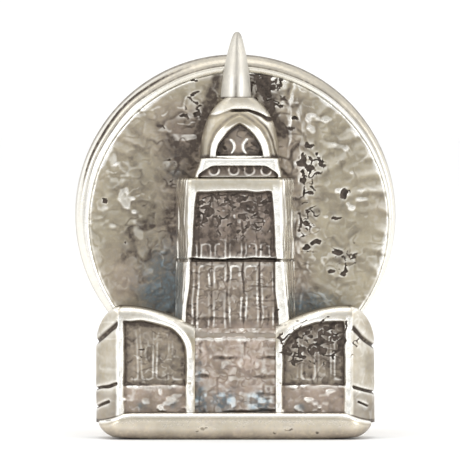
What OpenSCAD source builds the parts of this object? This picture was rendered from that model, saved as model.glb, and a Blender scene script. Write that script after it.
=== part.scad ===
// Miniature landmark tack: a stepped tower with a spire and two low wings, in high
// relief before a sunburst disc, with a pin post and a ball-locking clutch behind.
// +Z is up and the relief faces -Y. The origin is the centre of the plinth's flat
// underside. The clutch slides along +Y and comes off the end of the post.

/* [Plinth] */
// Overall width of the plinth
plinth_w = 11.0; // [9.5:0.1:12.5]
// Height of the plinth band
plinth_h = 1.07; // [0.8:0.01:1.4]
// Depth of the whole casting, front of plinth to flat back
cast_depth = 3.0; // [2.6:0.1:3.6]

/* [Disc] */
// Radius of the dish whose rolled rim shows round the face
dish_r = 6.34; // [6.2:0.01:6.6]
// Height of the dish's centre above the underside
dish_z = 8.81; // [8.4:0.01:9]
// Radius of the sunburst face
face_r = 5.92; // [5.7:0.01:5.95]
// How far the face sits to the right of the dish's centre
face_dx = 0.14; // [0:0.01:0.16]
// How far the face sits below the dish's centre
face_dz = 0.30; // [0:0.01:0.3]
// Number of raised rays round the full circle
ray_count = 44; // [24:2:60]
// Height of a ray above the face
ray_h = 0.07; // [0.04:0.01:0.12]

/* [Wings] */
// Height of a wing's top above the underside
wing_top = 5.26; // [5:0.01:5.6]
// Height of a wing where it meets the tower
wing_low = 4.5; // [4.3:0.01:4.7]
// Distance from the centre to a wing's front outer corner
wing_corner = 4.58; // [4.3:0.01:4.8]
// Number of windows across a wing
wing_windows = 4; // [3:1:5]

/* [Tower] */
// Half width of the shaft's front face
shaft_half = 1.95; // [1.8:0.01:2.05]
// Half width of the shaft where it meets the disc
shaft_root = 2.38; // [2.2:0.01:2.5]
// Height where the lower shaft begins
shaft_z = 4.28; // [4.1:0.01:4.4]
// Height of the seam between the lower and upper shafts
seam_z = 7.0; // [6.6:0.01:7.4]
// Height where the shoulder tier begins
shoulder_z = 10.22; // [9.9:0.01:10.5]
// Height where the dome begins
dome_z = 11.05; // [10.8:0.01:11.3]
// Height where the spire begins
spire_z = 13.43; // [13.2:0.01:13.7]
// Height of the spire's tip
tip_z = 16.03; // [15.8:0.01:16.6]
// Number of window strips across the shaft
strips = 6; // [5:1:7]

/* [Post and clutch] */
// Height of the post's axis above the underside
post_z = 8.5; // [8:0.1:9]
// Radius of the post
post_r = 0.525; // [0.45:0.005:0.55]
// Length of the post behind the flat back
post_len = 8.8; // [8.4:0.1:10]
// Gap behind the casting that the cloth fills
cloth_gap = 1.75; // [1.6:0.05:1.8]
// Radius of the clutch
clutch_r = 4.95; // [4.8:0.05:5.2]
// Number of locking balls
ball_count = 3; // [3:1:3]
// Radius of a locking ball
ball_r = 0.45; // [0.43:0.01:0.46]

/* [Hidden] */
$fn = 72;
tiny = 0.01;

// Depths along Y: the back is flat, and the relief steps forward from the face
back = cast_depth / 2;
front = -cast_depth / 2;
face_y = back - 1.2;
dish_floor_y = back - 0.5;
wing_y = front + 0.25;
block_y = wing_y + 0.35;
shaft_y = front + 0.5;
panel_depth = 0.22;
groove_depth = 0.12;

silver = "silver";
aged = "darkgray";
brass = "goldenrod";
steel = "lightsteelblue";

// Extrudes a front-view outline (X, Z) from depth y0 to depth y1
module slab(y0, y1) {
    translate([0, y1, 0]) rotate([90, 0, 0]) linear_extrude(height = y1 - y0) children();
}

// Extrudes a plan (X, Y) from height z0 to height z1
module storey(z0, z1) {
    translate([0, 0, z0]) linear_extrude(height = z1 - z0) children();
}

// Room that the dish and the face take up behind the relief
module dish_room() {
    translate([0, face_y, dish_z]) rotate([-90, 0, 0]) cylinder(r = dish_r, h = cast_depth, $fn = 120);
}

// A smooth step from 0 to 1
function ease(t) = (1 - cos(180 * t)) / 2;

// A list in reverse order
function reversed(list) = [for (i = [len(list) - 1 : -1 : 0]) list[i]];

// An outline from its right half, given from top to bottom
function both_sides(half) = concat(half, [for (p = reversed(half)) [-p[0], p[1]]]);

// ---- Disc ----

dish_t = back - face_y;
edge_r = 0.35;
rim_w = 0.97;
dish_steps = 10;

// Section of the dish: a flat back, a tight rear edge and a long round front edge
dish_section = concat(
    [[0, 0]],
    [for (i = [0 : dish_steps]) let (a = 90 * i / dish_steps)
        [dish_r - edge_r * (1 - sin(a)), edge_r * (1 - cos(a))]],
    [for (i = [1 : 2 * dish_steps]) let (a = 45 * i / dish_steps)
        [dish_r - rim_w * (1 - cos(a)), edge_r + (dish_t - edge_r) * sin(a)]],
    [[0, dish_t]]
);

module backing_dish() {
    color(silver)
    difference() {
        translate([0, back, dish_z]) rotate([90, 0, 0]) rotate_extrude($fn = 120)
            polygon(dish_section);
        translate([face_dx, dish_floor_y, dish_z - face_dz]) rotate([90, 0, 0])
            cylinder(r = face_r, h = cast_depth, $fn = 120);
    }
}

// One ray: a wedge that widens towards the rim
module ray(i) {
    step = 360 / ray_count;
    rotate(i * step) polygon([[0.6, 0], [face_r + 1, -(face_r + 1) * tan(step / 4)],
        [face_r + 1, (face_r + 1) * tan(step / 4)]]);
}

// Front outline of all that stands on the face
module tower_shadow() {
    tiers = [[dish_r, wing_top], [shaft_root, shoulder_z], [shoulder_half, dome_z],
        [dome_half, spire_z], [spire_r, tip_z]];
    for (tier = tiers) translate([-tier[0], 0]) square([2 * tier[0], tier[1]]);
}

module sunburst_disc() {
    color(aged) {
        translate([face_dx, 0, dish_z - face_dz]) {
            slab(face_y, dish_floor_y) circle(r = face_r, $fn = 120);
            slab(face_y - ray_h, face_y) difference() {
                intersection() {
                    circle(r = face_r - 0.1, $fn = 120);
                    for (i = [0 : ray_count - 1]) ray(i);
                }
                // the tower and the wings stand here
                translate([-face_dx, face_dz - dish_z]) tower_shadow();
            }
        }
    }
}

// ---- Plinth and wings ----

half_w = plinth_w / 2;
end_droop = 0.3;
end_run = 1.5;
sole_rise = 0.09;
heel_w = 0.55;
heel_h = 0.42;

// Height of the crease between plinth and wings at a distance x from the centre
function crease(x) = plinth_h - end_droop * ease(max(0, (x - half_w + end_run) / end_run));

// Height of the underside at a distance x from the centre: flat, then turned up at the ends
function sole(x) = sole_rise * ease((x - flat_x) / (half_w - flat_x))
    + heel_h * (1 - sqrt(max(0, 1 - pow(max(0, x - half_w + heel_w) / heel_w, 2))));

flat_x = 2.6;
plinth_xs = [for (i = [0 : 24]) flat_x + (half_w - flat_x) * sin(90 * i / 24)];

side_y = 0.4;

// Plan of the plinth and the wings: past each front corner the side turns back to side_y.
// The turn starts at angle a0, so that 0 gives a smooth corner and more gives an edge
module plan(corner, fore, a0) {
    reach = [for (i = [0 : 12]) let (a = a0 + (90 - a0) * i / 12)
        [corner + (half_w - corner) * (sin(a) - sin(a0)) / (1 - sin(a0)),
            fore + (side_y - fore) * (cos(a0) - cos(a)) / cos(a0)]];
    polygon(both_sides(concat(reach, [[half_w, back]])));
}

module plinth() {
    tops = [for (x = plinth_xs) [x, crease(x)]];
    soles = [for (x = reversed(plinth_xs)) [x, sole(x)]];
    color(silver)
    intersection() {
        slab(front, back) polygon(both_sides(concat(tops, soles)));
        storey(0, 2) plan(wing_corner - 0.15, front, 0);
    }
}

wing_in = 1.62;
crest_x = 4.35;
shoulder_x = 4.5;
shoulder_drop = 1.5;
course_z = 2.15;
frame_w = 0.3;

// Front outline of a wing: it rises from the tower to its crest and rounds off outside
wing_outline = concat(
    [for (i = [0 : 12]) let (t = i / 12)
        [wing_in + (crest_x - wing_in) * t, wing_low + (wing_top - wing_low) * sin(90 * t)]],
    [for (i = [0 : 12]) let (a = 90 * i / 12)
        [shoulder_x + (half_w - shoulder_x) * sin(a), wing_top - shoulder_drop * (1 - cos(a))]],
    [for (i = [8 : -1 : 0]) let (x = half_w - end_run * 1.2 * (1 - i / 8)) [x, crease(x)]],
    [[wing_in, plinth_h]]
);

panel_x0 = wing_in + frame_w;
panel_x1 = wing_corner - frame_w * 0.6;

// Top of the recessed window panel at x
function panel_top(x) = wing_low - 0.45
    + (wing_top - wing_low) * sin(90 * min(1, (x - panel_x0) / (crest_x - panel_x0)));

module wing_panel() {
    steps = 10;
    tops = [for (i = [0 : steps]) let (x = panel_x0 + (panel_x1 - panel_x0) * i / steps)
        [x, panel_top(x)]];
    polygon(concat(tops, [[panel_x1, course_z + 0.1], [panel_x0, course_z + 0.1]]));
}

// Cuts in a wing's outer side: height at the front corner, width and slope in degrees
side_cuts = [[4.3, 0.2, 42], [2.11, 0.1, 17]];

module side_cut(z, width, slope) {
    translate([wing_corner + 0.06, wing_y, z]) rotate([0, slope, 0]) rotate([0, 0, 45])
        translate([0, -1, -width / 2]) cube([2.2, 1 + groove_depth, width]);
}

module wing() {
    pitch = (panel_x1 - panel_x0) / wing_windows;
    difference() {
        intersection() {
            slab(wing_y, back) polygon(wing_outline);
            storey(0, wing_top + 1) plan(wing_corner, wing_y, 30);
        }
        dish_room();
        storey(shaft_z, shoulder_z) shaft_plan();
        // window panel with a deeper light for each window
        slab(wing_y - tiny, wing_y + panel_depth) wing_panel();
        for (i = [0 : wing_windows - 1]) translate([panel_x0 + pitch * (i + 0.22), 0, 0])
            slab(wing_y, wing_y + panel_depth + groove_depth) translate([0, course_z + 0.2])
                square([pitch * 0.6, 1.7]);
        // string course below the panel, cut round the corner too
        slab(wing_y - tiny, wing_y + groove_depth) translate([panel_x0, course_z - 0.08])
            square([panel_x1 - panel_x0, 0.12]);
        for (cut = side_cuts) side_cut(cut[0], cut[1], cut[2]);
    }
}

module left_wing() { color(silver) mirror([1, 0, 0]) wing(); }
module right_wing() { color(silver) wing(); }

// ---- Tower ----

ledge_z = 3.85;
courses = 4;

module entrance_block() {
    course_h = (ledge_z - plinth_h) / courses;
    color(aged)
    difference() {
        union() {
            slab(block_y, back) translate([-wing_in, plinth_h])
                square([2 * wing_in, shaft_z - plinth_h]);
            slab(block_y - 0.12, block_y) translate([-wing_in, ledge_z - 0.1])
                square([2 * wing_in, 0.2]);
        }
        dish_room();
        for (i = [1 : courses - 1])
            slab(block_y - tiny, block_y + groove_depth) translate([-wing_in - tiny,
                plinth_h + i * course_h]) square([2 * wing_in + 2 * tiny, 0.07]);
    }
}

// Plan of the shaft: its sides lean back from the front face to the disc
module shaft_plan() {
    polygon([[-shaft_root, face_y], [-shaft_half, shaft_y + 0.1], [-shaft_half + 0.1, shaft_y],
        [shaft_half - 0.1, shaft_y], [shaft_half, shaft_y + 0.1], [shaft_root, face_y]]);
}

// Recessed window panel between two heights, with a groove between the strips
module window_panel(z0, z1, half0, half1, groove_z0, groove_z1) {
    slab(shaft_y - tiny, shaft_y + panel_depth)
        polygon([[-half0, z0], [half0, z0], [half1, z1], [-half1, z1]]);
    pitch = 2 * min(half0, half1) / strips;
    for (i = [1 : strips - 1])
        slab(shaft_y, shaft_y + panel_depth + groove_depth)
            translate([i * pitch - min(half0, half1) - 0.04, groove_z0])
                square([0.08, groove_z1 - groove_z0]);
}

seam = 0.1;

module lower_shaft() {
    color(aged)
    difference() {
        storey(shaft_z, seam_z - seam / 2) shaft_plan();
        window_panel(shaft_z + 0.25, seam_z - 0.15, shaft_half - 0.08, shaft_half - 0.16,
            shaft_z + 0.4, seam_z - 0.2);
    }
}

module upper_shaft() {
    color(aged)
    difference() {
        union() {
            storey(seam_z + seam / 2, shoulder_z) shaft_plan();
            // set back, it closes the seam between the two shafts
            storey(seam_z - seam / 2, seam_z + seam / 2) intersection() {
                shaft_plan();
                translate([-shaft_root, shaft_y + 0.25]) square([2 * shaft_root, cast_depth]);
            }
        }
        window_panel(seam_z + 0.1, shoulder_z - 0.45, shaft_half - 0.2, shaft_half - 0.34,
            seam_z + 0.15, shoulder_z - 1.3);
    }
}

shoulder_half = 1.86;
dome_half = 1.56;

module shoulder_tier() {
    h = dome_z - shoulder_z;
    light_count = 4;
    color(silver)
    difference() {
        slab(shaft_y + 0.05, face_y) polygon([[-shoulder_half, shoulder_z], [shoulder_half, shoulder_z],
            [dome_half - 0.02, dome_z - 0.12], [dome_half - 0.1, dome_z],
            [-dome_half + 0.1, dome_z], [-dome_half + 0.02, dome_z - 0.12]]);
        slab(shaft_y, shaft_y + 0.35) polygon([[-shoulder_half + 0.25, shoulder_z + 0.06],
            [shoulder_half - 0.25, shoulder_z + 0.06], [dome_half - 0.36, dome_z - 0.26],
            [-dome_half + 0.36, dome_z - 0.26]]);
        for (i = [0 : light_count - 1])
            translate([(i - (light_count - 1) / 2) * 0.7, shaft_y, shoulder_z + h * 0.4])
                rotate([-90, 0, 0]) cylinder(r = 0.17, h = 0.45, $fn = 24);
    }
}

dome_h = spire_z - dome_z;
neck_half = 1.1;
flat_half = 0.75;
collar_h = 0.42;
collar_z = dome_h - collar_h;
dome_steps = 14;
barrel_r = 2;
barrel_y = 1.1;
brow_t = 0.12;

// Right side of the dome, as a distance from the centre and a height above its foot
dome_side = concat(
    [for (i = [0 : dome_steps]) let (t = i / dome_steps)
        [dome_half - (dome_half - neck_half) * pow(t, 2.4), collar_z * t]],
    [[neck_half - 0.1, collar_z + 0.02], [neck_half - 0.1, collar_z + 0.08],
        [neck_half, collar_z + 0.1]],
    [for (i = [1 : 6]) let (a = 90 * i / 6)
        [flat_half + (neck_half - flat_half) * cos(a),
            collar_z + 0.1 + (collar_h - 0.1) * sin(a)]]
);

// Pointed arch with its foot at z = 0
module pointed_arch(half, high) {
    r = (half * half + high * high) / (2 * half);
    intersection() {
        translate([half - r, 0]) circle(r = r, $fn = 64);
        translate([r - half, 0]) circle(r = r, $fn = 64);
        translate([-half, 0]) square([2 * half, high]);
    }
}

// A tall barrel that rounds the dome's front
module barrel(r) {
    translate([0, barrel_y, 0]) cylinder(r = r, h = dome_h, $fn = 96);
}

module dome_tier() {
    arch_y = barrel_y - barrel_r;
    color(silver) translate([0, 0, dome_z])
    difference() {
        union() {
            intersection() {
                slab(arch_y - 1, face_y) polygon(both_sides(dome_side));
                barrel(barrel_r);
            }
            // raised brow round the pointed recess
            intersection() {
                slab(arch_y - 1, face_y) pointed_arch(1.24, 1.74);
                barrel(barrel_r + brow_t);
            }
        }
        translate([0, 0, 0.1]) slab(arch_y - 1, arch_y + 0.35) pointed_arch(1, 1.36);
        for (side = [-1, 1]) translate([side * 0.52, arch_y + 0.3, 0.42])
            rotate([-90, 0, 0]) cylinder(r = 0.3, h = 0.25, $fn = 32);
    }
}

spire_r = 0.6;
spire_axis_y = face_y - 0.1;
spire_steps = 20;

module spire() {
    h = tip_z - spire_z;
    // the radius falls slowly at the foot, faster above and at once at the round tip
    profile = concat([[0, 0]], [for (i = [0 : spire_steps]) let (t = sin(90 * i / spire_steps))
        [spire_r * (1 - 0.78 * pow(t, 1.75)) * sqrt(max(0, 1 - pow(t, 40))), h * t]]);
    color(silver)
    difference() {
        translate([0, spire_axis_y, spire_z]) rotate_extrude($fn = 48) polygon(profile);
        translate([-2, face_y, spire_z - 1]) cube([4, 2, 6]);
    }
}

// ---- Post ----

pad_r = 1.9;
pad_t = 0.5;
collar_r = post_r + 0.165;
collar_end = pad_t + 1.1;
point_len = 0.9;
notch_from = post_len - 1.5;

// Turns a (radius, depth) profile about the post's axis, with depth 0 at depth y
module on_post(y) {
    translate([0, y, post_z]) rotate([-90, 0, 0]) rotate_extrude() children();
}

module post_pad() {
    color(silver) on_post(back) polygon([[post_r, 0], [pad_r, 0], [pad_r, pad_t - 0.15],
        [pad_r - 0.15, pad_t], [post_r, pad_t]]);
}

module tack_post() {
    color(steel) on_post(back) polygon([[0, 0], [post_r, 0], [post_r, pad_t], [collar_r, pad_t],
        [collar_r, collar_end], [post_r, collar_end + 0.1], [post_r, notch_from],
        [post_r - 0.1, notch_from + 0.1], [post_r - 0.1, notch_from + 0.3],
        [post_r, notch_from + 0.4], [post_r, post_len - point_len], [0.1, post_len - 0.05],
        [0, post_len]]);
}

// ---- Clutch: depths are counted from the front face of its plate ----

clutch_y = back + cloth_gap + 0.25;
plate_t = 0.45;
plate_r = clutch_r - 0.4;
lip = 0.25;
wall = 0.35;
neck_r = 2.45;
neck_from = 2.9;
cup_end = 4.7;
stem_clear = 0.05;
stem_in = post_r + stem_clear;
stem_r = 0.85;

module clutch_plate() {
    color(brass) on_post(clutch_y) polygon([[collar_r + 0.07, 0], [plate_r, 0], [plate_r, plate_t],
        [2.75, plate_t], [2.75, plate_t + 0.15], [2.55, plate_t + 0.15], [2.55, plate_t],
        [collar_r + 0.07, plate_t]]);
}

cup_steps = 10;

// Curve of the cup from its wide rim to its neck, set in by inset
function cup_curve(inset) = [for (i = [0 : cup_steps]) let (a = 90 * i / cup_steps)
    [neck_r - inset + (clutch_r - neck_r) * cos(a),
        0.55 + (neck_from - 0.55) * sin(a) - (inset > 0 ? 0.2 * sin(a) : 0)]];

module clutch_cup() {
    color(brass) on_post(clutch_y) polygon(concat(
        [[plate_r - 0.2, -lip], [clutch_r - 0.2, -lip], [clutch_r, 0]],
        cup_curve(0),
        [[neck_r, cup_end - 0.2], [neck_r - 0.2, cup_end], [stem_r + 0.15, cup_end],
            [stem_r + 0.15, cup_end - wall], [neck_r - wall, cup_end - wall]],
        reversed(cup_curve(wall)),
        [[plate_r, 0.55], [plate_r, 0], [plate_r - 0.2, 0]]
    ));
}

bush_r = 2.05;
bush_end = 2.65;
bush_lead = 0.6;
cone_slope = 0.3;
cone_gap = 0.03;
ball_at = 1.5;
ball_ring = post_r + ball_r + 0.02;
cone_at_ball = ball_ring + (ball_r + cone_gap) * sqrt(1 + pow(cone_slope, 2));

// Radius of the cone's wall at depth y
function cone_r(y) = cone_at_ball + cone_slope * (y - ball_at);

module cone_bush() {
    color(steel) on_post(clutch_y) polygon([[cone_r(bush_lead), plate_t], [2.5, plate_t],
        [2.5, plate_t + 0.3], [bush_r, plate_t + 0.3], [bush_r, bush_end],
        [cone_r(bush_end), bush_end], [cone_r(bush_lead), bush_lead]]);
}

cage_from = 0.75;
seat_r = 1.75;
seat_from = 2.85;
seat_t = 0.2;
cap_from = cup_end + 0.15;
cap_len = 1.5;
cap_r = 2.7;
cap_wall = 0.35;

module ball_cage() {
    color(steel)
    difference() {
        on_post(clutch_y) polygon([[stem_in, cage_from], [stem_r, cage_from], [stem_r, seat_from],
            [seat_r, seat_from], [seat_r, seat_from + seat_t], [stem_r, seat_from + seat_t],
            [stem_r, cap_from + cap_len - cap_wall], [stem_in, cap_from + cap_len - cap_wall]]);
        for (i = [0 : ball_count - 1]) translate([0, clutch_y + ball_at, post_z])
            rotate([0, i * 360 / ball_count, 0]) cylinder(r = ball_r + 0.02, h = 2, $fn = 48);
    }
}

module clutch_balls() {
    color(steel) for (i = [0 : ball_count - 1]) translate([0, clutch_y + ball_at, post_z])
        rotate([0, i * 360 / ball_count, 0]) translate([0, 0, ball_ring]) sphere(r = ball_r, $fn = 32);
}

wire_r = 0.11;
coil_r = 1.35;
turns = 2.5;
coil_steps = 16;
wire_sides = 8;
spring_from = seat_from + seat_t + wire_r;
spring_to = cup_end - wall - wire_r;

// A ring of points round the wire at step k of the coil
function wire_ring(k) = let (
    rise = (spring_to - spring_from) * k / (turns * coil_steps),
    turn = 360 * k / coil_steps)
    [for (j = [0 : wire_sides - 1]) let (a = 360 * j / wire_sides, r = coil_r + wire_r * cos(a))
        [r * cos(turn), r * sin(turn), spring_from + rise + wire_r * sin(a)]];

module clutch_spring() {
    last = turns * coil_steps;
    points = [for (k = [0 : last]) each wire_ring(k)];
    walls = [for (k = [0 : last - 1]) for (j = [0 : wire_sides - 1]) let (n = (j + 1) % wire_sides)
        [k * wire_sides + j, k * wire_sides + n, (k + 1) * wire_sides + n, (k + 1) * wire_sides + j]];
    first_cap = [for (j = [wire_sides - 1 : -1 : 0]) j];
    last_cap = [for (j = [0 : wire_sides - 1]) last * wire_sides + j];
    color(steel) translate([0, clutch_y, post_z]) rotate([-90, 0, 0])
        polyhedron(points = points, faces = concat([first_cap], walls, [last_cap]), convexity = 6);
}

grips = 24;

module pull_cap() {
    end = cap_from + cap_len;
    color(brass)
    difference() {
        on_post(clutch_y) polygon([[stem_r, cap_from], [cap_r - 0.15, cap_from],
            [cap_r, cap_from + 0.15], [cap_r, end - 0.4], [cap_r - 0.4, end], [stem_in, end],
            [stem_in, end - cap_wall], [stem_r, end - cap_wall]]);
        // grip flutes round the edge
        for (i = [0 : grips - 1]) translate([0, clutch_y + cap_from - tiny, post_z])
            rotate([0, i * 360 / grips, 0]) translate([cap_r + 0.08, 0, 0])
                rotate([-90, 0, 0]) cylinder(r = 0.2, h = cap_len - 0.35, $fn = 16);
    }
}

backing_dish();
sunburst_disc();
plinth();
left_wing();
right_wing();
entrance_block();
lower_shaft();
upper_shaft();
shoulder_tier();
dome_tier();
spire();
post_pad();
tack_post();
clutch_plate();
clutch_cup();
cone_bush();
ball_cage();
clutch_balls();
clutch_spring();
pull_cap();
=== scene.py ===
"""Looks of the miniature landmark tack: a worn, tarnished silver relief and its clutch.

Sizes are in millimetres until a mesh is made. The relief faces -Y, so a smaller y is
nearer to the viewer, and a positive depth is a cut.
"""

import math

import bmesh
import bpy
import numpy as np
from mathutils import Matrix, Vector


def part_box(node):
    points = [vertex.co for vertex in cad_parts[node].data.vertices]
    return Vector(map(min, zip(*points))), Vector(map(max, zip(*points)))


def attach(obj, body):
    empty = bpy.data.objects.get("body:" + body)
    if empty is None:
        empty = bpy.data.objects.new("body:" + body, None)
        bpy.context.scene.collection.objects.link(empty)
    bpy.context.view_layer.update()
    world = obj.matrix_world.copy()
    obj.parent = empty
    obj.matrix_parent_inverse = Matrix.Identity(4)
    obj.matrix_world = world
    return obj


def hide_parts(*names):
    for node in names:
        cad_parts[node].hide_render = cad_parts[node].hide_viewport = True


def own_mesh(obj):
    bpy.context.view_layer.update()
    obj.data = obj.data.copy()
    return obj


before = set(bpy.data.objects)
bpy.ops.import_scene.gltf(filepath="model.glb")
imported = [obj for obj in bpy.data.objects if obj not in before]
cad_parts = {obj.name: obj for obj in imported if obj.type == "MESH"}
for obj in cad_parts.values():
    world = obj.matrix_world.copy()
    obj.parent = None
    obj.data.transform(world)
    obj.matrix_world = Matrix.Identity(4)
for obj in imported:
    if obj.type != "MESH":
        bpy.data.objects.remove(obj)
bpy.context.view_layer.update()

MM = 0.001
TAU = 2 * math.pi


# ---- Numbers from the frame ----

def mm_box(node):
    """Lowest and highest corner of a CAD node, in millimetres."""
    low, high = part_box(node)
    return np.array(low) / MM, np.array(high) / MM


plinth_low, plinth_high = mm_box("plinth")
dish_low, dish_high = mm_box("backing_dish")
face_low, face_high = mm_box("sunburst_disc")
wing_low, wing_high = mm_box("right_wing")
block_low, block_high = mm_box("entrance_block")
lower_low, lower_high = mm_box("lower_shaft")
upper_high = mm_box("upper_shaft")[1]
tier_low, tier_high = mm_box("shoulder_tier")
dome_low, dome_high = mm_box("dome_tier")
spire_low, spire_high = mm_box("spire")
pad_low, pad_high = mm_box("post_pad")
post_low, post_high = mm_box("tack_post")
plate_low, plate_high = mm_box("clutch_plate")
cup_low, cup_high = mm_box("clutch_cup")
cap_low, cap_high = mm_box("pull_cap")
coil_low, coil_high = mm_box("clutch_spring")

half_w = plinth_high[0]
back_y = plinth_high[1]
front_y = plinth_low[1]
face_y = dish_low[1]
dish_z = (dish_low[2] + dish_high[2]) / 2
dish_r = (dish_high[0] - dish_low[0]) / 2
face_x = (face_low[0] + face_high[0]) / 2
face_z = (face_low[2] + face_high[2]) / 2
face_r = (face_high[0] - face_low[0]) / 2
post_z = (post_low[2] + post_high[2]) / 2
root_y = face_y + 0.15          # where the walls of the tower end, inside the disc


# ---- Noise and small shaping functions ----

def lattice(ix, iy, iz, seed):
    """A fixed pseudo-random number from 0 to 1 for each whole-number place."""
    mask = np.uint64(0xFFFFFFFF)
    h = (ix.astype(np.int64).astype(np.uint64) * np.uint64(374761393)
         + iy.astype(np.int64).astype(np.uint64) * np.uint64(668265263)
         + iz.astype(np.int64).astype(np.uint64) * np.uint64(2147483629)
         + np.uint64(seed * 97463477 + 12345)) & mask
    h = ((h ^ (h >> np.uint64(13))) * np.uint64(1274126177)) & mask
    h = ((h ^ (h >> np.uint64(16))) * np.uint64(2246822519)) & mask
    return (h ^ (h >> np.uint64(15))).astype(float) / 2 ** 32


LATTICE_START = (71.3, 37.7, 53.1)      # keeps the lattice's own planes off the model's axes


def noise(x, z, size, seed):
    """Smooth noise from -1 to 1 with lumps about size millimetres across."""
    at = np.broadcast_arrays(x / size + LATTICE_START[0], LATTICE_START[1],
                             z / size + LATTICE_START[2])
    cell = [np.floor(c) for c in at]
    part = [c - f for c, f in zip(at, cell)]
    ease = [p * p * (3 - 2 * p) for p in part]
    total = 0
    for dx in (0, 1):
        for dy in (0, 1):
            for dz in (0, 1):
                share = ((ease[0] if dx else 1 - ease[0]) * (ease[1] if dy else 1 - ease[1])
                         * (ease[2] if dz else 1 - ease[2]))
                total = total + share * lattice(cell[0] + dx, cell[1] + dy, cell[2] + dz, seed)
    return total * 2 - 1


def rough(x, z, size, seed, octaves=3):
    """Several layers of noise, each half the size of the one before."""
    layers = [noise(x, z, size / 2 ** k, seed + k) / 2 ** k for k in range(octaves)]
    return sum(layers) / (2 - 2 ** (1 - octaves))


def smooth(a, b, x):
    """0 at a, 1 at b, and a smooth step between them."""
    t = np.clip((x - a) / (b - a), 0, 1)
    return t * t * (3 - 2 * t)


def hump(distance, width):
    """1 at distance 0, falling to 0 about two widths away."""
    return np.exp(-(distance / width) ** 2)


def near(x, z, cx, cz, rx, rz=None):
    """A round hump centred on (cx, cz)."""
    return hump(np.hypot((x - cx) / rx, (z - cz) / (rz or rx)), 1)


def patches(x, z, size, seed, low, high, octaves=1):
    """Patches of noise: 0 where it is below low, 1 where it is above high."""
    return smooth(low, high, rough(x, z, size, seed, octaves))


def round_stains(x, z, places):
    """Soft round stains, each given as (strength, x, z, radius, upright radius)."""
    return sum(strength * near(x, z, *place) for strength, *place in places)


def least(k, *values):
    """The least of several distances, with the corners rounded over about k."""
    return -k * np.log(sum(np.exp(-np.asarray(v) / k) for v in values))


def rolled(inside, radius):
    """How far a rounded edge falls away, from the distance inside the outline."""
    d = np.clip(radius - inside, 0, radius)
    return radius - np.sqrt(radius ** 2 - d ** 2)


def to_line(x, z, a, b):
    """Distance from the straight line between points a and b."""
    (ax, az), (bx, bz) = a, b
    dx, dz = bx - ax, bz - az
    t = np.clip(((x - ax) * dx + (z - az) * dz) / (dx * dx + dz * dz), 0, 1)
    return np.hypot(x - ax - t * dx, z - az - t * dz)


def in_arch(x, z, half, high):
    """Distance inside a pointed arch with its foot at z = 0."""
    r = (half * half + high * high) / (2 * half)
    return np.minimum(r - np.hypot(x - half + r, z), r - np.hypot(x + half - r, z))


def lumps(x, z, seed):
    """The uneven skin of a small, worn casting."""
    return 0.022 * rough(x, z, 1.1, seed) + 0.007 * rough(x, z, 0.28, seed + 9, 2)


def spots(x, z, places, seed):
    """Ragged spots, each given as (x, z, radius), from 0 outside to 1 inside."""
    wx = x + 0.13 * noise(x, z, 0.34, seed) + 0.09 * noise(x, z, 0.15, seed + 1)
    wz = z + 0.10 * noise(x, z, 0.34, seed + 5) + 0.08 * noise(x, z, 0.15, seed + 6)
    torn = 0.9 * noise(x, z, 0.17, seed + 9)
    field = np.zeros(x.shape)
    for cx, cz, radius in places:
        off = np.hypot(0.85 * (wx - cx), 1.4 * (wz - cz)) / radius
        field = np.maximum(field, smooth(1.15, 0.8, off + torn))
    return field


def worms(x, z, size, seed, width):
    """Short wandering marks, from 0 between them to 1 along them."""
    wx = x + 0.5 * size * noise(x, z, size * 0.7, seed + 3)
    wz = z + 0.5 * size * noise(x, z, size * 0.7, seed + 4)
    line = smooth(width, 0.0, np.abs(noise(wx, wz * 1.3, size, seed)))
    return line * smooth(-0.12, 0.2, noise(wx, wz, size * 0.8, seed + 7))


def cracked(x, z, *marks):
    """The strongest of several sets of wandering marks, each given as (size, seed, width)."""
    return np.maximum.reduce([worms(x, z, *mark) for mark in marks])


def crust(x, z, zone, size, seed):
    """Crusty, worm-like pits where zone is near 1, and none where it is 0."""
    holes = worms(x, z, size * 1.8, seed, 0.3) + 0.7 * worms(x, z, size, seed + 30, 0.3)
    return smooth(0.16, 0.34, zone * holes) * smooth(0.05, 0.3, zone)


# ---- Meshes ----

def new_mesh(name, points, faces):
    """A smooth mesh object from points in millimetres."""
    mesh = bpy.data.meshes.new(name)
    mesh.from_pydata((np.asarray(points) * MM).tolist(), [], faces)
    mesh.polygons.foreach_set("use_smooth", np.ones(len(mesh.polygons), bool))
    obj = bpy.data.objects.new(name, mesh)
    bpy.context.scene.collection.objects.link(obj)
    return obj


def face_outwards(obj):
    """Turns the faces over if the mesh is inside out."""
    mesh = obj.data
    mesh.calc_loop_triangles()
    corners = np.empty(len(mesh.loop_triangles) * 3, np.int32)
    mesh.loop_triangles.foreach_get("vertices", corners)
    at = np.empty(len(mesh.vertices) * 3)
    mesh.vertices.foreach_get("co", at)
    at = at.reshape(-1, 3) - at.reshape(-1, 3).mean(0)
    a, b, c = np.moveaxis(at[corners.reshape(-1, 3)], 1, 0)
    if np.einsum("ij,ij->i", a, np.cross(b, c)).sum() < 0:
        mesh.flip_normals()
    mesh.update()


def circle(angle, radius, y, middle):
    """One ring of points round a middle (x, z), at one depth y."""
    return np.stack([middle[0] + radius * np.cos(angle), y + 0 * angle,
                     middle[1] + radius * np.sin(angle)], -1)


def paint(obj, layers):
    """Stores each layer as a number per point, for the material to read."""
    for name, values in layers.items():
        attribute = obj.data.attributes.new(name, "FLOAT", "POINT")
        attribute.data.foreach_set("value", np.ascontiguousarray(values, np.float32).ravel())


def stands_for(obj, node, body, material):
    """Ties a new piece to its CAD node, its body and its material."""
    obj.data.materials.append(material)
    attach(obj, body)
    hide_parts(node)
    return obj


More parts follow.
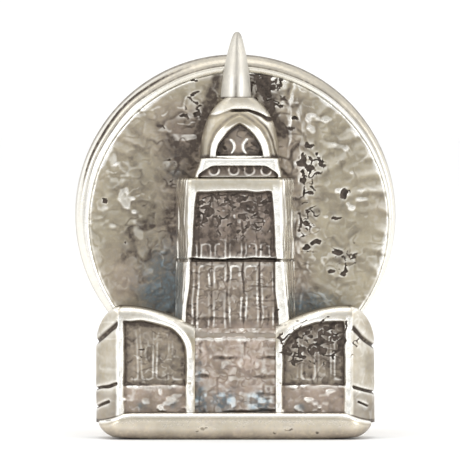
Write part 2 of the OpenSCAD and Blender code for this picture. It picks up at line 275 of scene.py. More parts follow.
def grid_faces(nu, nv, wrap=False):
    """Quads of a grid of nu by nv points."""
    i = np.arange(nu if wrap else nu - 1)[:, None]
    j = np.arange(nv - 1)[None, :]
    a = i * nv + j
    b = (i + 1) % nu * nv + j
    return np.stack([a, b, b + 1, a + 1], -1).reshape(-1, 4).tolist()


def blurred(a, reach, pitch, wrap):
    """a, blurred over about reach millimetres. The grid's pitch may differ each way."""
    for axis in (0, 1):
        n = max(1, round(reach / pitch[axis]))
        sides = [(0, 0), (0, 0)]
        sides[axis] = (n + 1, n)
        mode = "wrap" if wrap and axis == 0 else "edge"
        for _ in range(2):
            sums = np.cumsum(np.pad(a, sides, mode=mode), axis=axis)
            m = a.shape[axis]
            upper = np.take(sums, range(2 * n + 1, 2 * n + 1 + m), axis=axis)
            a = (upper - np.take(sums, range(m), axis=axis)) / (2 * n + 1)
    return a


def worn(depth, pitch, layers, wrap=False):
    """Adds how proud and how sunken each point is beside its neighbours to the layers."""
    close = blurred(depth, 0.06, pitch, wrap) - depth
    wide = blurred(depth, 0.2, pitch, wrap) - depth
    edge = close * 20 + wide * 6
    zero = np.zeros(depth.shape)
    made = {key: zero + layers.get(key, 0) for key in ("wear_and_highlight", "grime_and_shade", "pit", "blue", "warm")}
    made["wear_and_highlight"] = np.clip(made["wear_and_highlight"] + edge * (1 - made["pit"]), 0, 1)
    made["grime_and_shade"] = np.clip(made["grime_and_shade"] - 0.6 * edge, 0, 1)
    return made


WALL_ROWS = 6                   # rows of points on a block's walls
PLAIN = {"wear_and_highlight": 0.3, "grime_and_shade": 0.1, "pit": 0.0, "blue": 0.0, "warm": 0.1}   # stains of the backs


def relief(name, x, z, y, end_y, depth, layers):
    """A closed block: a modelled front of grid points, with walls back to a flat end."""
    nu, nv = x.shape
    pitch = (np.mean(np.sqrt(np.diff(x, axis=0) ** 2 + np.diff(y, axis=0) ** 2)),
             np.mean(np.diff(z, axis=1)))
    layers = worn(depth, pitch, layers)
    front = np.stack([x, y, z], -1).reshape(-1, 3)
    rim = np.concatenate([np.arange(nu) * nv, (nu - 1) * nv + np.arange(1, nv),
                          np.arange(nu - 2, -1, -1) * nv + nv - 1, np.arange(nv - 2, 0, -1)])
    n = len(rim)
    walls = []
    for k in range(1, WALL_ROWS + 1):
        ring = front[rim].copy()
        ring[:, 1] += (end_y - ring[:, 1]) * k / WALL_ROWS
        walls.append(ring)
    rings = [rim] + [nu * nv + k * n + np.arange(n) for k in range(WALL_ROWS)]
    faces = grid_faces(nu, nv)
    for near_ring, far_ring in zip(rings, rings[1:]):
        faces += np.stack([near_ring, far_ring, np.roll(far_ring, -1), np.roll(near_ring, -1)],
                          -1).tolist()
    faces.append(rings[-1].tolist())
    obj = new_mesh(name, np.concatenate([front] + walls), faces)
    obj.data.polygons[len(faces) - 1].use_smooth = False
    face_outwards(obj)
    back = np.linspace(0, 1, WALL_ROWS + 1)[1:, None]
    painted = {}
    for key, values in layers.items():
        values = values.ravel()
        faded = values[rim] * (1 - back) + PLAIN[key] * back
        painted[key] = np.concatenate([values, faded.ravel()])
    paint(obj, painted)
    return obj


TURNED_SIDES = 192
SAME_PLACE = 1e-8               # points nearer than this, in metres, are joined into one


def turned(name, profile, centre, swell=None):
    """A solid turned about an axis along Y, from a (radius, y) profile.

    swell may change the radii.
    """
    profile = np.array(profile, float)
    angle = np.linspace(0, TAU, TURNED_SIDES, endpoint=False)[:, None]
    r = profile[None, :, 0] + 0 * angle
    y = profile[None, :, 1] + 0 * angle
    if swell:
        r = swell(r, angle, y)
    points = np.stack([centre[0] + r * np.cos(angle), y, centre[1] + r * np.sin(angle)], -1)
    obj = new_mesh(name, points.reshape(-1, 3), grid_faces(TURNED_SIDES, len(profile), wrap=True))
    bm = bmesh.new()
    bm.from_mesh(obj.data)
    bmesh.ops.remove_doubles(bm, verts=bm.verts, dist=SAME_PLACE)
    bm.to_mesh(obj.data)
    bm.free()
    face_outwards(obj)
    return obj


BEND_STEPS = 3


def bend(profile, radius):
    """The (radius, y) profile with every corner but its two ends rounded."""
    points = [np.array(p, float) for p in profile]
    made = [points[0]]
    for a, p, b in zip(points, points[1:], points[2:]):
        before, after = a - p, b - p
        reach = min(radius, np.linalg.norm(before) / 2.1, np.linalg.norm(after) / 2.1)
        start = p + before / np.linalg.norm(before) * reach
        end = p + after / np.linalg.norm(after) * reach
        for t in np.linspace(0, 1, BEND_STEPS + 1):
            made.append((1 - t) ** 2 * start + 2 * t * (1 - t) * p + t ** 2 * end)
    return made + [points[-1]]


# ---- Materials ----

MAP_ENDS = ("From Min", "From Max", "To Min", "To Max")


class Nodes:
    """Short forms for building a material's nodes. Textures are in millimetres on the object."""

    def __init__(self, name):
        self.material = bpy.data.materials.new(name)
        self.material.use_nodes = True
        self.tree = self.material.node_tree
        self.shader = self.tree.nodes["Principled BSDF"]
        place = self.add("ShaderNodeTexCoord").outputs["Object"]
        self.coords = self.add("ShaderNodeMapping", Vector=place)
        self.coords.inputs["Scale"].default_value = (1 / MM,) * 3

    def add(self, kind, **inputs):
        """A new node, with each input linked to a socket or set to a value."""
        node = self.tree.nodes.new(kind)
        for key, value in inputs.items():
            self.put(node.inputs[key.replace("_", " ")], value)
        return node

    def put(self, socket, value):
        """Links a socket to another, or sets its value."""
        if isinstance(value, bpy.types.NodeSocket):
            self.tree.links.new(value, socket)
        else:
            socket.default_value = value

    def layer(self, name):
        """A number that the mesh holds for each point."""
        node = self.add("ShaderNodeAttribute")
        node.attribute_name = name
        return node.outputs["Fac"]

    def speckle(self, size, detail=3.0, stretch=(1, 1, 1)):
        """Noise from 0 to 1 with lumps about size millimetres across."""
        at = self.add("ShaderNodeMapping", Vector=self.coords.outputs["Vector"])
        at.inputs["Scale"].default_value = stretch
        node = self.add("ShaderNodeTexNoise", Vector=at.outputs["Vector"])
        node.inputs["Scale"].default_value = 1 / size
        node.inputs["Detail"].default_value = detail
        return node.outputs["Fac"]

    def remap(self, value, low, high, to_low=0.0, to_high=1.0):
        """value, stretched from low..high to to_low..to_high and kept inside."""
        node = self.add("ShaderNodeMapRange", Value=value)
        for key, number in zip(MAP_ENDS, (low, high, to_low, to_high)):
            node.inputs[key].default_value = number
        return node.outputs["Result"]

    def sum(self, a, b, operation="ADD", limit=True):
        """Two numbers put together."""
        node = self.add("ShaderNodeMath")
        node.operation = operation
        node.use_clamp = limit
        self.put(node.inputs[0], a)
        self.put(node.inputs[1], b)
        return node.outputs[0]

    def mix(self, share, a, b, kind="RGBA"):
        """a where share is 0 and b where it is 1. Colours are (r, g, b), or sockets."""
        node = self.add("ShaderNodeMix")
        node.data_type = kind
        first = {"RGBA": 6, "FLOAT": 2}[kind]
        self.put(node.inputs[0], share)
        for index, value in ((first, a), (first + 1, b)):
            self.put(node.inputs[index], (*value, 1) if isinstance(value, tuple) else value)
        return node.outputs[{"RGBA": 2, "FLOAT": 0}[kind]]

    def bump(self, height, distance_mm):
        """Fine grain as a bump on the shader's normal."""
        node = self.add("ShaderNodeBump", Height=height)
        node.inputs["Distance"].default_value = distance_mm * MM
        self.put(self.shader.inputs["Normal"], node.outputs["Normal"])


def shade(colour, k):
    """The colour, k times as bright."""
    return tuple(c * k for c in colour)


TARNISH = (0.39, 0.345, 0.255)
BROWN = (0.27, 0.205, 0.165)
PINK = (0.52, 0.40, 0.34)
BRIGHT = (0.97, 0.955, 0.90)
GRIME_AND_SHADE = (0.105, 0.085, 0.072)
PATINA = (0.108, 0.13, 0.14)
PALE_BLUE = (0.46, 0.58, 0.66)
SOOT = (0.058, 0.045, 0.036)


def silver(name, base, polish, rough_base=0.42):
    """Worn silver: dark in its hollows, bright on its edges, with the mesh's own stains, painted shade,
    painted highlights and painted reflections.
    """
    n = Nodes(name)
    blotch = n.speckle(0.9, 4.0)
    fine = n.speckle(0.16, 5.0)
    grain = n.speckle(0.05, 3.0)
    wear_and_highlight, grime_and_shade, pit = n.layer("wear_and_highlight"), n.layer("grime_and_shade"), n.layer("pit")
    tone = n.mix(n.remap(blotch, 0.3, 0.7), base, shade(base, 1.28))
    tone = n.mix(n.remap(fine, 0.35, 0.75, 0.0, 0.45), tone, shade(base, 0.62))
    warm = n.sum(n.layer("warm"), n.remap(fine, 0.3, 0.7, 0.6, 1.0), "MULTIPLY")
    tone = n.mix(warm, tone, n.mix(n.remap(blotch, 0.35, 0.65), BROWN, PINK))
    # the wear layer brightens towards BRIGHT: real polish, and also painted highlights and painted bright
    # reflections
    shine = n.sum(n.sum(wear_and_highlight, polish), n.remap(fine, 0.3, 0.7, -0.12, 0.12))
    tone = n.mix(shine, tone, BRIGHT)
    # the grime layer darkens towards the grime colour: real tarnish and dirt, and also painted shade and
    # painted dark reflections
    stain_and_shade = n.sum(grime_and_shade, n.remap(fine, 0.3, 0.7, 0.7, 1.25), "MULTIPLY")
    tone = n.mix(stain_and_shade, tone, GRIME_AND_SHADE)
    blue = n.sum(n.layer("blue"), n.remap(fine, 0.3, 0.65, 0.35, 1.1), "MULTIPLY")
    cold = n.mix(n.remap(fine, 0.3, 0.7), shade(PATINA, 0.7), shade(PATINA, 1.5))
    tone = n.mix(blue, tone, n.mix(wear_and_highlight, cold, PALE_BLUE))
    hole = n.remap(n.sum(pit, n.remap(grain, 0.3, 0.7, -0.15, 0.15)), 0.35, 0.6)
    tone = n.mix(hole, tone, n.mix(n.remap(fine, 0.35, 0.7), shade(SOOT, 0.7), shade(SOOT, 2.3)))
    n.put(n.shader.inputs["Base Color"], tone)
    gloss = n.mix(shine, rough_base, 0.17, "FLOAT")
    gloss = n.mix(n.sum(stain_and_shade, blue), gloss, 0.6, "FLOAT")
    gloss = n.mix(hole, gloss, 0.85, "FLOAT")
    n.put(n.shader.inputs["Roughness"], gloss)
    dull = n.sum(hole, n.sum(blue, 0.5, "MULTIPLY"))
    n.put(n.shader.inputs["Metallic"], n.mix(dull, 0.96, 0.25, "FLOAT"))
    n.bump(n.sum(fine, grain, limit=False), 0.006)
    return n.material


def plain_metal(name, colour, roughness, mark=(1, 1, 1), mark_size=0.3):
    """Clean metal with soft, drawn-out marks."""
    n = Nodes(name)
    marks = n.speckle(mark_size, 4.0, mark)
    haze = n.speckle(1.6, 3.0)
    tone = n.mix(n.remap(haze, 0.3, 0.7), colour, shade(colour, 0.78))
    tone = n.mix(n.remap(marks, 0.45, 0.75, 0.0, 0.35), tone, shade(colour, 0.55))
    n.put(n.shader.inputs["Base Color"], tone)
    n.put(n.shader.inputs["Roughness"], n.remap(marks, 0.3, 0.7, roughness * 0.8, roughness * 1.3))
    n.shader.inputs["Metallic"].default_value = 1.0
    n.bump(marks, 0.004)
    return n.material


face_metal = silver("matte_face_silver", TARNISH, 0.0)
relief_metal = silver("relief_silver", shade(TARNISH, 1.05), 0.03)
pale_metal = silver("polished_silver", (0.62, 0.575, 0.47), 0.08, 0.28)
spire_metal = silver("satin_spire_silver", (0.56, 0.54, 0.475), 0.0, 0.44)
plinth_metal = silver("worn_plinth_silver", (0.60, 0.54, 0.42), 0.02, 0.3)
back_metal = plain_metal("back_silver", (0.80, 0.77, 0.69), 0.3, (1, 1, 1), 0.25)
post_metal = plain_metal("post_nickel_steel", (0.72, 0.71, 0.69), 0.22, (6, 0.4, 6), 0.25)
brass_metal = plain_metal("clutch_brass", (0.82, 0.63, 0.31), 0.26, (1, 4, 1), 0.3)
hard_metal = plain_metal("hard_steel", (0.62, 0.63, 0.65), 0.2, (1, 1, 1), 0.2)


# ---- Sunburst disc and the dish whose rim holds it ----

RAYS = 44
BURST_Z = dish_z                # the rays spread from the middle of the dish
FACE_PITS = [(0.95, 14.35, 0.2), (1.25, 14.0, 0.3), (1.05, 13.6, 0.22), (1.6, 13.85, 0.14),
             (1.62, 13.1, 0.13), (2.35, 12.55, 0.12), (2.2, 12.2, 0.1), (2.9, 11.5, 0.13),
             (3.2, 11.2, 0.08), (2.75, 10.9, 0.2), (3.0, 10.65, 0.14), (2.7, 10.15, 0.1),
             (4.25, 9.6, 0.16), (4.5, 9.75, 0.1), (4.0, 8.65, 0.09), (2.75, 8.5, 0.12),
             (2.85, 9.65, 0.09), (2.8, 7.55, 0.11), (3.2, 7.7, 0.12), (4.05, 7.3, 0.15),
             (3.9, 6.6, 0.18), (4.35, 6.5, 0.13), (-1.5, 13.6, 0.1), (-1.55, 12.85, 0.13),
             (-1.45, 13.1, 0.08), (-2.85, 12.25, 0.07), (-2.0, 12.7, 0.09), (-2.55, 10.15, 0.11),
             (-2.6, 10.9, 0.07), (-5.15, 9.35, 0.07), (-4.4, 7.7, 0.06), (-1.6, 14.2, 0.12)]
FACE_CRUST = [(1.3, 1.22, 13.85, 0.72, 0.95), (0.7, 3.0, 10.9, 0.5, 0.5), (0.62, 2.9, 9.0, 0.45, 1.9),
              (0.6, -1.6, 13.0, 0.4, 0.8), (0.5, 4.2, 7.2, 0.7, 0.7), (0.45, -2.6, 10.6, 0.5, 0.5)]
FACE_POOLS = [(1.4, -2.7, 5.3, 1.1, 1.05), (1.2, -2.75, 6.5, 0.8, 1.0), (1.5, 2.8, 5.1, 1.0, 0.7),
              (0.25, -2.4, 10.6, 0.35, 0.9)]


def burst(x, z, angle, r):
    """Depth of the face and its stains."""
    turn = np.arctan2(z - BURST_Z, x) * RAYS / TAU
    turn = turn + 0.5 * rough(x, z, 1.6, 3, 2)
    ray = np.round(turn)
    bold = 0.35 + 0.65 * smooth(-0.3, 0.4, noise(ray * 0.8, 0 * ray, 1.0, 2))
    valley = hump(turn - ray + 0.15 * noise(x, z, 0.5, 4), 0.2) * bold
    crest = hump(turn - ray - 0.33, 0.2) * bold
    out = np.hypot(x, z - BURST_Z)
    kept = smooth(3.0, 6.0, out) * patches(x, z, 1.7, 5, -0.25, 0.55, 2)
    kept = kept * (0.35 + 0.65 * smooth(0.2, 1.0, np.cos(angle - 0.15))
                   + 0.4 * smooth(0.5, 1.0, np.cos(angle - 2.9)))
    depth = 0.07 * kept * valley + 0.02 * (1 - kept) + 1.2 * lumps(x, z, 8)
    bead = smooth(0.2, 0.45, rough(x * 0.8, z * 1.2, 0.42, 31, 2)) * smooth(5.8, 5.0, out)
    bead = bead * np.maximum(patches(x, z, 1.6, 30, 0.0, 0.5), near(x, z, -4.1, 9.2, 1.1, 1.3))
    depth -= 0.035 * bead
    pits = spots(x, z, FACE_PITS, 40)
    pits = np.maximum(pits, crust(x, z, np.clip(round_stains(x, z, FACE_CRUST), 0, 1), 0.2, 44))
    beside = np.minimum(to_line(x, z, (-0.62, 14.7), (-1.15, 12.6)) - 0.06,
                        to_line(x, z, (-1.15, 12.6), (-1.85, 11.2)))
    beside = np.minimum(beside, to_line(x, z, (0.7, 14.5), (1.9, 12.0)))
    beside = beside + 0.07 * noise(x, z, 0.3, 14)
    shaft = smooth(3.5, 2.2, np.abs(x) + 0.3 * noise(x, z, 0.6, 15)) * smooth(13.8, 12.2, z)
    cracks = np.maximum(worms(x, z, 0.7, 17, 0.34), 0.7 * worms(x, z, 0.36, 16, 0.36))
    left = smooth(0.5, -0.5, x)
    grime_and_shade = 0.95 * hump(beside, 0.17) + shaft * (0.18 + 0.2 * left * smooth(11.8, 10.2, z) + 0.36 * cracks)
    grime_and_shade += 0.8 * near(x, z, 1.05, 13.9, 0.75, 0.95)
    grime_and_shade += (0.12 + 0.22 * patches(x, z, 1.1, 18, -0.3, 0.3)) * cracks * smooth(6.0, 4.2, out)
    grime_and_shade += 0.34 * patches(x, z, 0.9, 19, 0.05, 0.55, 3) * (1 - 0.6 * smooth(4, 5.5, out))
    # the stains follow the rays in towards the tower
    grime_and_shade += 0.3 * smooth(5.0, 2.8, out) * smooth(0.1, 0.7, noise(turn * 1.3, out, 0.55, 23))
    grime_and_shade += 0.34 * kept * valley + 0.22 * left * smooth(5.9, 4.0, out)
    grime_and_shade += 0.2 * patches(x, z, 0.33, 24, -0.1, 0.35) * smooth(5.8, 4.6, out)
    grime_and_shade += 0.14 * near(x, z, -4.0, 6.2, 1.6, 1.8)
    pool = round_stains(x, z, FACE_POOLS) * (0.8 + 0.8 * rough(x * 0.5, z * 1.3, 0.4, 27))
    blue = np.clip(pool - 0.3 * cracks, 0, 1)
    warm = (0.55 * near(x, z, -4.4, 6.2, 0.9, 1.0) + 0.5 * shaft + 0.35 * near(x, z, -2.4, 12.2, 0.9, 1.0)
            + 0.2 * patches(x, z, 1.5, 29, -0.2, 0.6, 3))
    # the worn edge of the face: real polish with a painted highlight along it, broadest at the upper left and
    # faint at the top
    jag = 0.07 + 0.18 * smooth(-0.2, 0.5, noise(angle * RAYS / TAU * 0.9, angle * 0, 0.62, 33))
    jag = jag * (0.25 + 0.75 * smooth(-0.5, 0.5, np.sin(angle + 0.35)))
    jag = jag * (1 - 0.75 * smooth(0.7, 0.95, np.sin(angle)))
    wear_and_highlight = smooth(face_r - jag - 0.04, face_r - jag * 0.5 + 0.02, r)
    light_marks = worms(x, z, 0.42, 35, 0.3) * patches(x, z, 0.9, 36, -0.3, 0.4)
    wear_and_highlight = np.maximum(wear_and_highlight, (0.42 * bead + 0.22 * light_marks) * (1 - pits) * (1 - blue))
    # painted highlight: one flank of each ray crest is brightened, on the right half of the face only
    wear_and_highlight = np.maximum(wear_and_highlight, 0.4 * kept * crest * smooth(0.2, 1.0, np.cos(angle)))
    wavy = x * 2.2 + 0.35 * noise(x, z, 0.5, 39)
    streaks = smooth(0.1, 0.5, rough(wavy, z * 0.7, 0.4, 37, 2)) * smooth(1.9, 2.2, x) * smooth(3.1, 2.3, x)
    wear_and_highlight = np.maximum(wear_and_highlight, 0.28 * streaks)
    depth += 0.06 * pits + 0.02 * cracks - 0.03 * streaks - 0.015 * light_marks
    depth += 0.05 * smooth(face_r - 0.07, face_r, r)
    return depth, {"wear_and_highlight": wear_and_highlight, "grime_and_shade": grime_and_shade * (1 - wear_and_highlight), "pit": pits, "blue": blue, "warm": warm}


def make_face():
    """The round face: rings of points, with a wall and a flat back."""
    around, across = 690, 136
    angle = np.linspace(0, TAU, around, endpoint=False)[:, None]
    r = face_r * np.linspace(0.004, 1, across)[None, :] ** 0.8
    x = face_x + r * np.cos(angle)
    z = face_z + r * np.sin(angle)
    depth, layers = burst(x, z, angle + 0 * r, r + 0 * angle)
    y = face_y + depth
    layers = worn(depth, (face_r * 0.7 * TAU / around, face_r / across), layers, wrap=True)
    flat_y = face_high[1] - 0.02
    walls = [(face_r, face_y + 0.2), (face_r, face_y + 0.45), (face_r, flat_y), (0, flat_y)]
    rings = [circle(angle, far_r, far_y, (face_x, face_z)) for far_r, far_y in walls]
    points = np.concatenate([np.stack([x, y, z], -1)] + rings, axis=1)
    obj = new_mesh("face_of_rays", points.reshape(-1, 3), grid_faces(around, points.shape[1], wrap=True))
    face_outwards(obj)
    paint(obj, {key: np.concatenate([v] + [v[:, -1:]] * len(walls), axis=1) for key, v in layers.items()})
    return stands_for(obj, "sunburst_disc", "tack", face_metal)


def make_dish():
    """The dish: its front edge is a rounded rim, wide on the left and narrow on the right."""
    around, across = 720, 70
    angle = np.linspace(0, TAU, around, endpoint=False)[:, None]
    off = np.hypot(face_x, face_z - dish_z)
    toward = math.atan2(face_z - dish_z, face_x)
    seam = off * np.cos(angle - toward) + np.sqrt(face_r ** 2 - (off * np.sin(angle - toward)) ** 2)
    t = np.linspace(0, 1, across)[None, :]
    wide = dish_r - seam
    # front of the rim, from its seam with the face out to the dish's edge
    r = seam - 0.05 + (wide + 0.05) * (1 - (1 - t) ** 1.5)
    crest = 0.3
    s = np.clip((r - seam) / wide, -0.2, 1)
    fall = np.where(s < crest, 0.10 * ((crest - s) / crest) ** 2,
                    0.78 * (1 - np.sqrt(1 - np.clip((s - crest) / (1 - crest), 0, 1) ** 2.1)))
    fall = fall * np.clip(wide / 0.75, 0.55, 1)
    x = r * np.cos(angle)
    z = dish_z + r * np.sin(angle)
    upper_left = smooth(1.55, 2.1, angle) * smooth(3.3, 2.75, angle)
    upper = smooth(0.1, 0.7, np.sin(angle) + 0 * s)
    wander = 0.03 * noise(x, z, 1.2, 60)
    groove = hump((s - 0.7) * wide + wander, 0.016 + 0.032 * upper_left) * smooth(1.75, 2.3, angle)
    groove = groove * smooth(3.1, 2.7, angle)
    step = hump((s - 0.36) * wide + wander, 0.045) * smooth(0.3, 1.0, angle) * smooth(3.5, 2.6, angle)
    depth = fall + 0.07 * groove + 0.04 * step + 0.012 * rough(x, z, 0.9, 61, 2) * smooth(1.0, 0.8, t)
    y = face_y + 0.012 + depth
    # The rim's light and dark bands are painted reflections and painted highlights: a bright band by the
    # seam, a thin bright line near the outer edge at the upper left, a darker beige upper band, a darker top,
    # a grey outer edge, and dark lines along the step and in the groove.
    inner = smooth(0.42, 0.26, s + wander)
    outer = hump((s - 0.84) * wide, 0.05) * upper_left
    beige = upper * smooth(0.3, 0.42, s + wander) * (1 - 0.6 * outer)
    rim_line = smooth(0.86, 0.94, s) * (0.55 + 0.45 * upper)
    darker_top = smooth(0.7, 0.95, np.sin(angle)) + 0 * s
    wear_and_highlight = 0.55 + 0.42 * inner * (1 - 0.9 * darker_top) + 0.45 * outer - 0.62 * beige - 0.3 * darker_top
    layers = {"wear_and_highlight": np.clip(wear_and_highlight, 0, 1) * (1 - groove) * (1 - 0.8 * rim_line),
              "grime_and_shade": np.clip(1.25 * groove + 0.55 * hump(r - seam, 0.03) * upper + 0.5 * step
                               + 0.5 * rim_line + 0.2 * beige, 0, 1),
              "warm": 0.15 * beige}
    layers = worn(0.3 * (depth - fall), (dish_r * TAU / around, 1.0 / across), layers, wrap=True)
    # the rounded rear edge, then the flat back in to its middle
    edge = 0.3
    tail = [(dish_r - edge + edge * math.cos(a), back_y - edge + edge * math.sin(a))
            for a in np.linspace(0, math.pi / 2, 7)]
    tail += [(far_r, back_y) for far_r in (5.0, 3.4, 1.2, 0.0)]
    # behind the face: the pocket's floor, out to its wall
    floor = [circle(angle, r[:, :1] * k, face_high[1] - 0.01, (0, dish_z)) for k in (0, 1)]
    rings = floor + [np.stack([x, y + 0 * x, z], -1)]
    rings += [circle(angle, far_r, far_y, (0, dish_z)) for far_r, far_y in tail]
    points = np.concatenate(rings, axis=1)
    obj = new_mesh("dish_with_rim", points.reshape(-1, 3), grid_faces(around, points.shape[1], wrap=True))
    face_outwards(obj)
    plain = dict(PLAIN, grime_and_shade=0.0)
    paint(obj, {key: np.concatenate([v[:, :1]] * len(floor) + [v, np.full((around, len(tail)), plain[key])],
                                    axis=1) for key, v in layers.items()})
    return stands_for(obj, "backing_dish", "tack", pale_metal)


def cast_piece(name, node, x, z, y, end_y, depth, layers):
    """A block of the building, in the relief's silver."""
    obj = relief(name, x, z, y, end_y, depth, layers)
    return stands_for(obj, node, "tack", relief_metal)


# ---- Plinth and wings ----

DROOP = 0.3                     # how far the plinth's crease drops at its ends
END_RUN = 1.5                   # and over what length
SOLE_FLAT = 2.6                 # half the flat length of the plinth's underside
WING_IN = block_high[0]         # the wings' inner sides
CORNER = half_w - 0.92          # where a wing's front turns into its outer side
CREST = half_w - 1.15           # where a wing's top edge is highest
SHOULDER = half_w - 1.0         # where that edge starts to round off
WING_TOP = wing_high[2]
WING_LOW = WING_TOP - 0.76      # the top edge at the inner side
COURSE_Z = 2.15                 # the course under a wing's windows
SIDE_Y = 0.4                    # how far back the outer sides turn
HEEL = 0.55                     # the length over which the plinth's underside rounds up
PANEL_EDGE = 0.16               # from a wing's window panel out to its corner
MULLION_START = 0.3             # from a wing's inner side to its first window


def eased(t):
    """A smooth step from 0 to 1, held at both ends."""
    return (1 - np.cos(np.pi * np.clip(t, 0, 1))) / 2


def crease(u):
    """Height of the joint between plinth and wings, at a distance u from the middle."""
    return plinth_high[2] - DROOP * eased((u - half_w + END_RUN) / END_RUN)


def sole(u):
    """Height of the plinth's underside."""
    heel = np.clip((u - half_w + HEEL) / HEEL, 0, 1)
    return 0.09 * eased((u - SOLE_FLAT) / (half_w - SOLE_FLAT)) + 0.42 * (1 - np.sqrt(1 - heel ** 2))


def round_the_end(inner, fore, start_deg, front_xs, turns):
    """Plan of a front that turns back at its outer end: distance out, depth and outward normal."""
    a0 = math.radians(start_deg)
    a = np.linspace(a0, math.pi / 2, turns + 1)[1:]
    reach, deep = half_w - inner, SIDE_Y - fore
    u = np.concatenate([front_xs, inner + reach * (np.sin(a) - math.sin(a0)) / (1 - math.sin(a0))])
    y = np.concatenate([fore + 0 * front_xs, fore + deep * (math.cos(a0) - np.cos(a)) / math.cos(a0)])
    slope_u = reach * np.cos(a) / (1 - math.sin(a0))
    slope_y = deep * np.sin(a) / math.cos(a0)
    size = np.hypot(slope_u, slope_y)
    nu = np.concatenate([0 * front_xs, slope_y / size])
    ny = np.concatenate([-1 + 0 * front_xs, -slope_u / size])
    return u[:, None], y[:, None], nu[:, None], ny[:, None]


PLINTH_DENTS = [(-5.0, 0.72, 0.06), (-1.35, 0.42, 0.1), (-1.15, 0.5, 0.07), (-1.5, 0.3, 0.06),
                (1.5, 0.3, 0.07), (2.1, 0.34, 0.08), (3.2, 0.28, 0.05), (4.7, 0.74, 0.05)]


def make_plinth():
    """The smooth band, with a rounded front and a drooping crease."""
    inner = CORNER - 0.15
    half = np.linspace(0.0, inner, 150)
    u, y0, nu, ny = round_the_end(inner, front_y, 0, half, 70)
    flip = slice(None, 0, -1)
    side = np.concatenate([-np.ones(len(u) - 1), np.ones(len(u))])[:, None]
    u, y0, nu, ny = (np.concatenate([v[flip], v]) for v in (u, y0, nu, ny))
    low, high = sole(u), crease(u)
    v = (1 - np.cos(np.linspace(0, np.pi, 46)))[None, :] / 2
    z = low + (high - low) * v
    x = side * u
    fill = rolled(high - z, 0.26) * 0.85 + rolled(z - low, 0.5) * 0.8
    depth = fill + 0.02 * rough(x, z, 1.1, 70, 2) + 0.016 * hump(high - z - 0.22, 0.045)
    dents = spots(x, z, PLINTH_DENTS, 72)
    depth = depth + 0.02 * dents
    # painted highlight along the worn top lip, just under the crease
    lip = hump(high - z - 0.09, 0.07)
    # painted shade and reflection: the lower part, which curves down towards the floor, is painted darker,
    # duller and warmer
    under = smooth(0.62, 0.1, z - low + 0.06 * noise(x, z, 0.7, 73))
    dull = patches(x, z, 0.8, 74, 0.1, 0.7, 3)
    layers = {"wear_and_highlight": 0.95 * lip + 0.02 - 0.3 * under,
              "grime_and_shade": 0.4 * dents + 0.85 * smooth(0.035, 0.0, high - z) + 0.42 * under + 0.15 * dull,
              "pit": 0.12 * dents, "warm": 0.15 + 0.35 * under + 0.2 * dull}
    obj = relief("plinth_band", x - side * nu * depth, z, y0 - ny * (depth + 0.01), back_y - 0.02,
                 depth - 0.6 * fill, layers)
    return stands_for(obj, "plinth", "tack", plinth_metal)


WINDOWS = 4                     # in each wing
# for the left (-1) and the right (1) wing: cuts in its side as (start, end, width), then
# pits, crust and blue specks
SIDE_CUTS = {-1: [((-5.6, 3.72), (-4.6, 4.56), 0.085), ((-5.6, 1.9), (-4.64, 2.2), 0.05),
                  ((-5.5, 1.22), (-5.0, 1.5), 0.045)],
             1: [((4.62, 4.36), (5.5, 3.6), 0.085), ((4.55, 2.12), (5.5, 1.8), 0.05),
                 ((4.85, 1.5), (5.2, 1.32), 0.03)]}
WING_PITS = {-1: [(-3.63, 3.57, 0.06), (-3.66, 3.3, 0.05), (-3.7, 3.1, 0.05)],
             1: [(2.45, 4.02, 0.11), (2.9, 4.1, 0.12), (2.5, 3.0, 0.13), (2.75, 3.2, 0.16),
                 (3.05, 3.45, 0.15), (3.35, 3.5, 0.12), (3.3, 3.9, 0.14), (3.6, 4.2, 0.13),
                 (3.75, 3.8, 0.12), (4.0, 4.0, 0.1), (3.9, 3.45, 0.08), (3.6, 4.75, 0.05)]}
WING_CRUST = {-1: [], 1: [(2.2, 3.4, 3.95, 1.15, 0.6), (2.0, 2.85, 3.4, 0.7, 0.5)]}
WING_SPECKS = {-1: [(1, -3.67, 1.33, 0.2, 0.13), (1, -2.45, 1.36, 0.2, 0.13)],
               1: [(1, 2.55, 1.28, 0.2, 0.13)]}


def wing_top(u):
    """Height of a wing's top edge."""
    t = np.clip((u - WING_IN) / (CREST - WING_IN), 0, 1)
    rise = WING_LOW + (WING_TOP - WING_LOW) * np.sin(np.pi / 2 * t)
    round_off = np.clip((u - SHOULDER) / (half_w - SHOULDER), 0, 1)
    return rise - 1.5 * (1 - np.sqrt(1 - round_off ** 2))


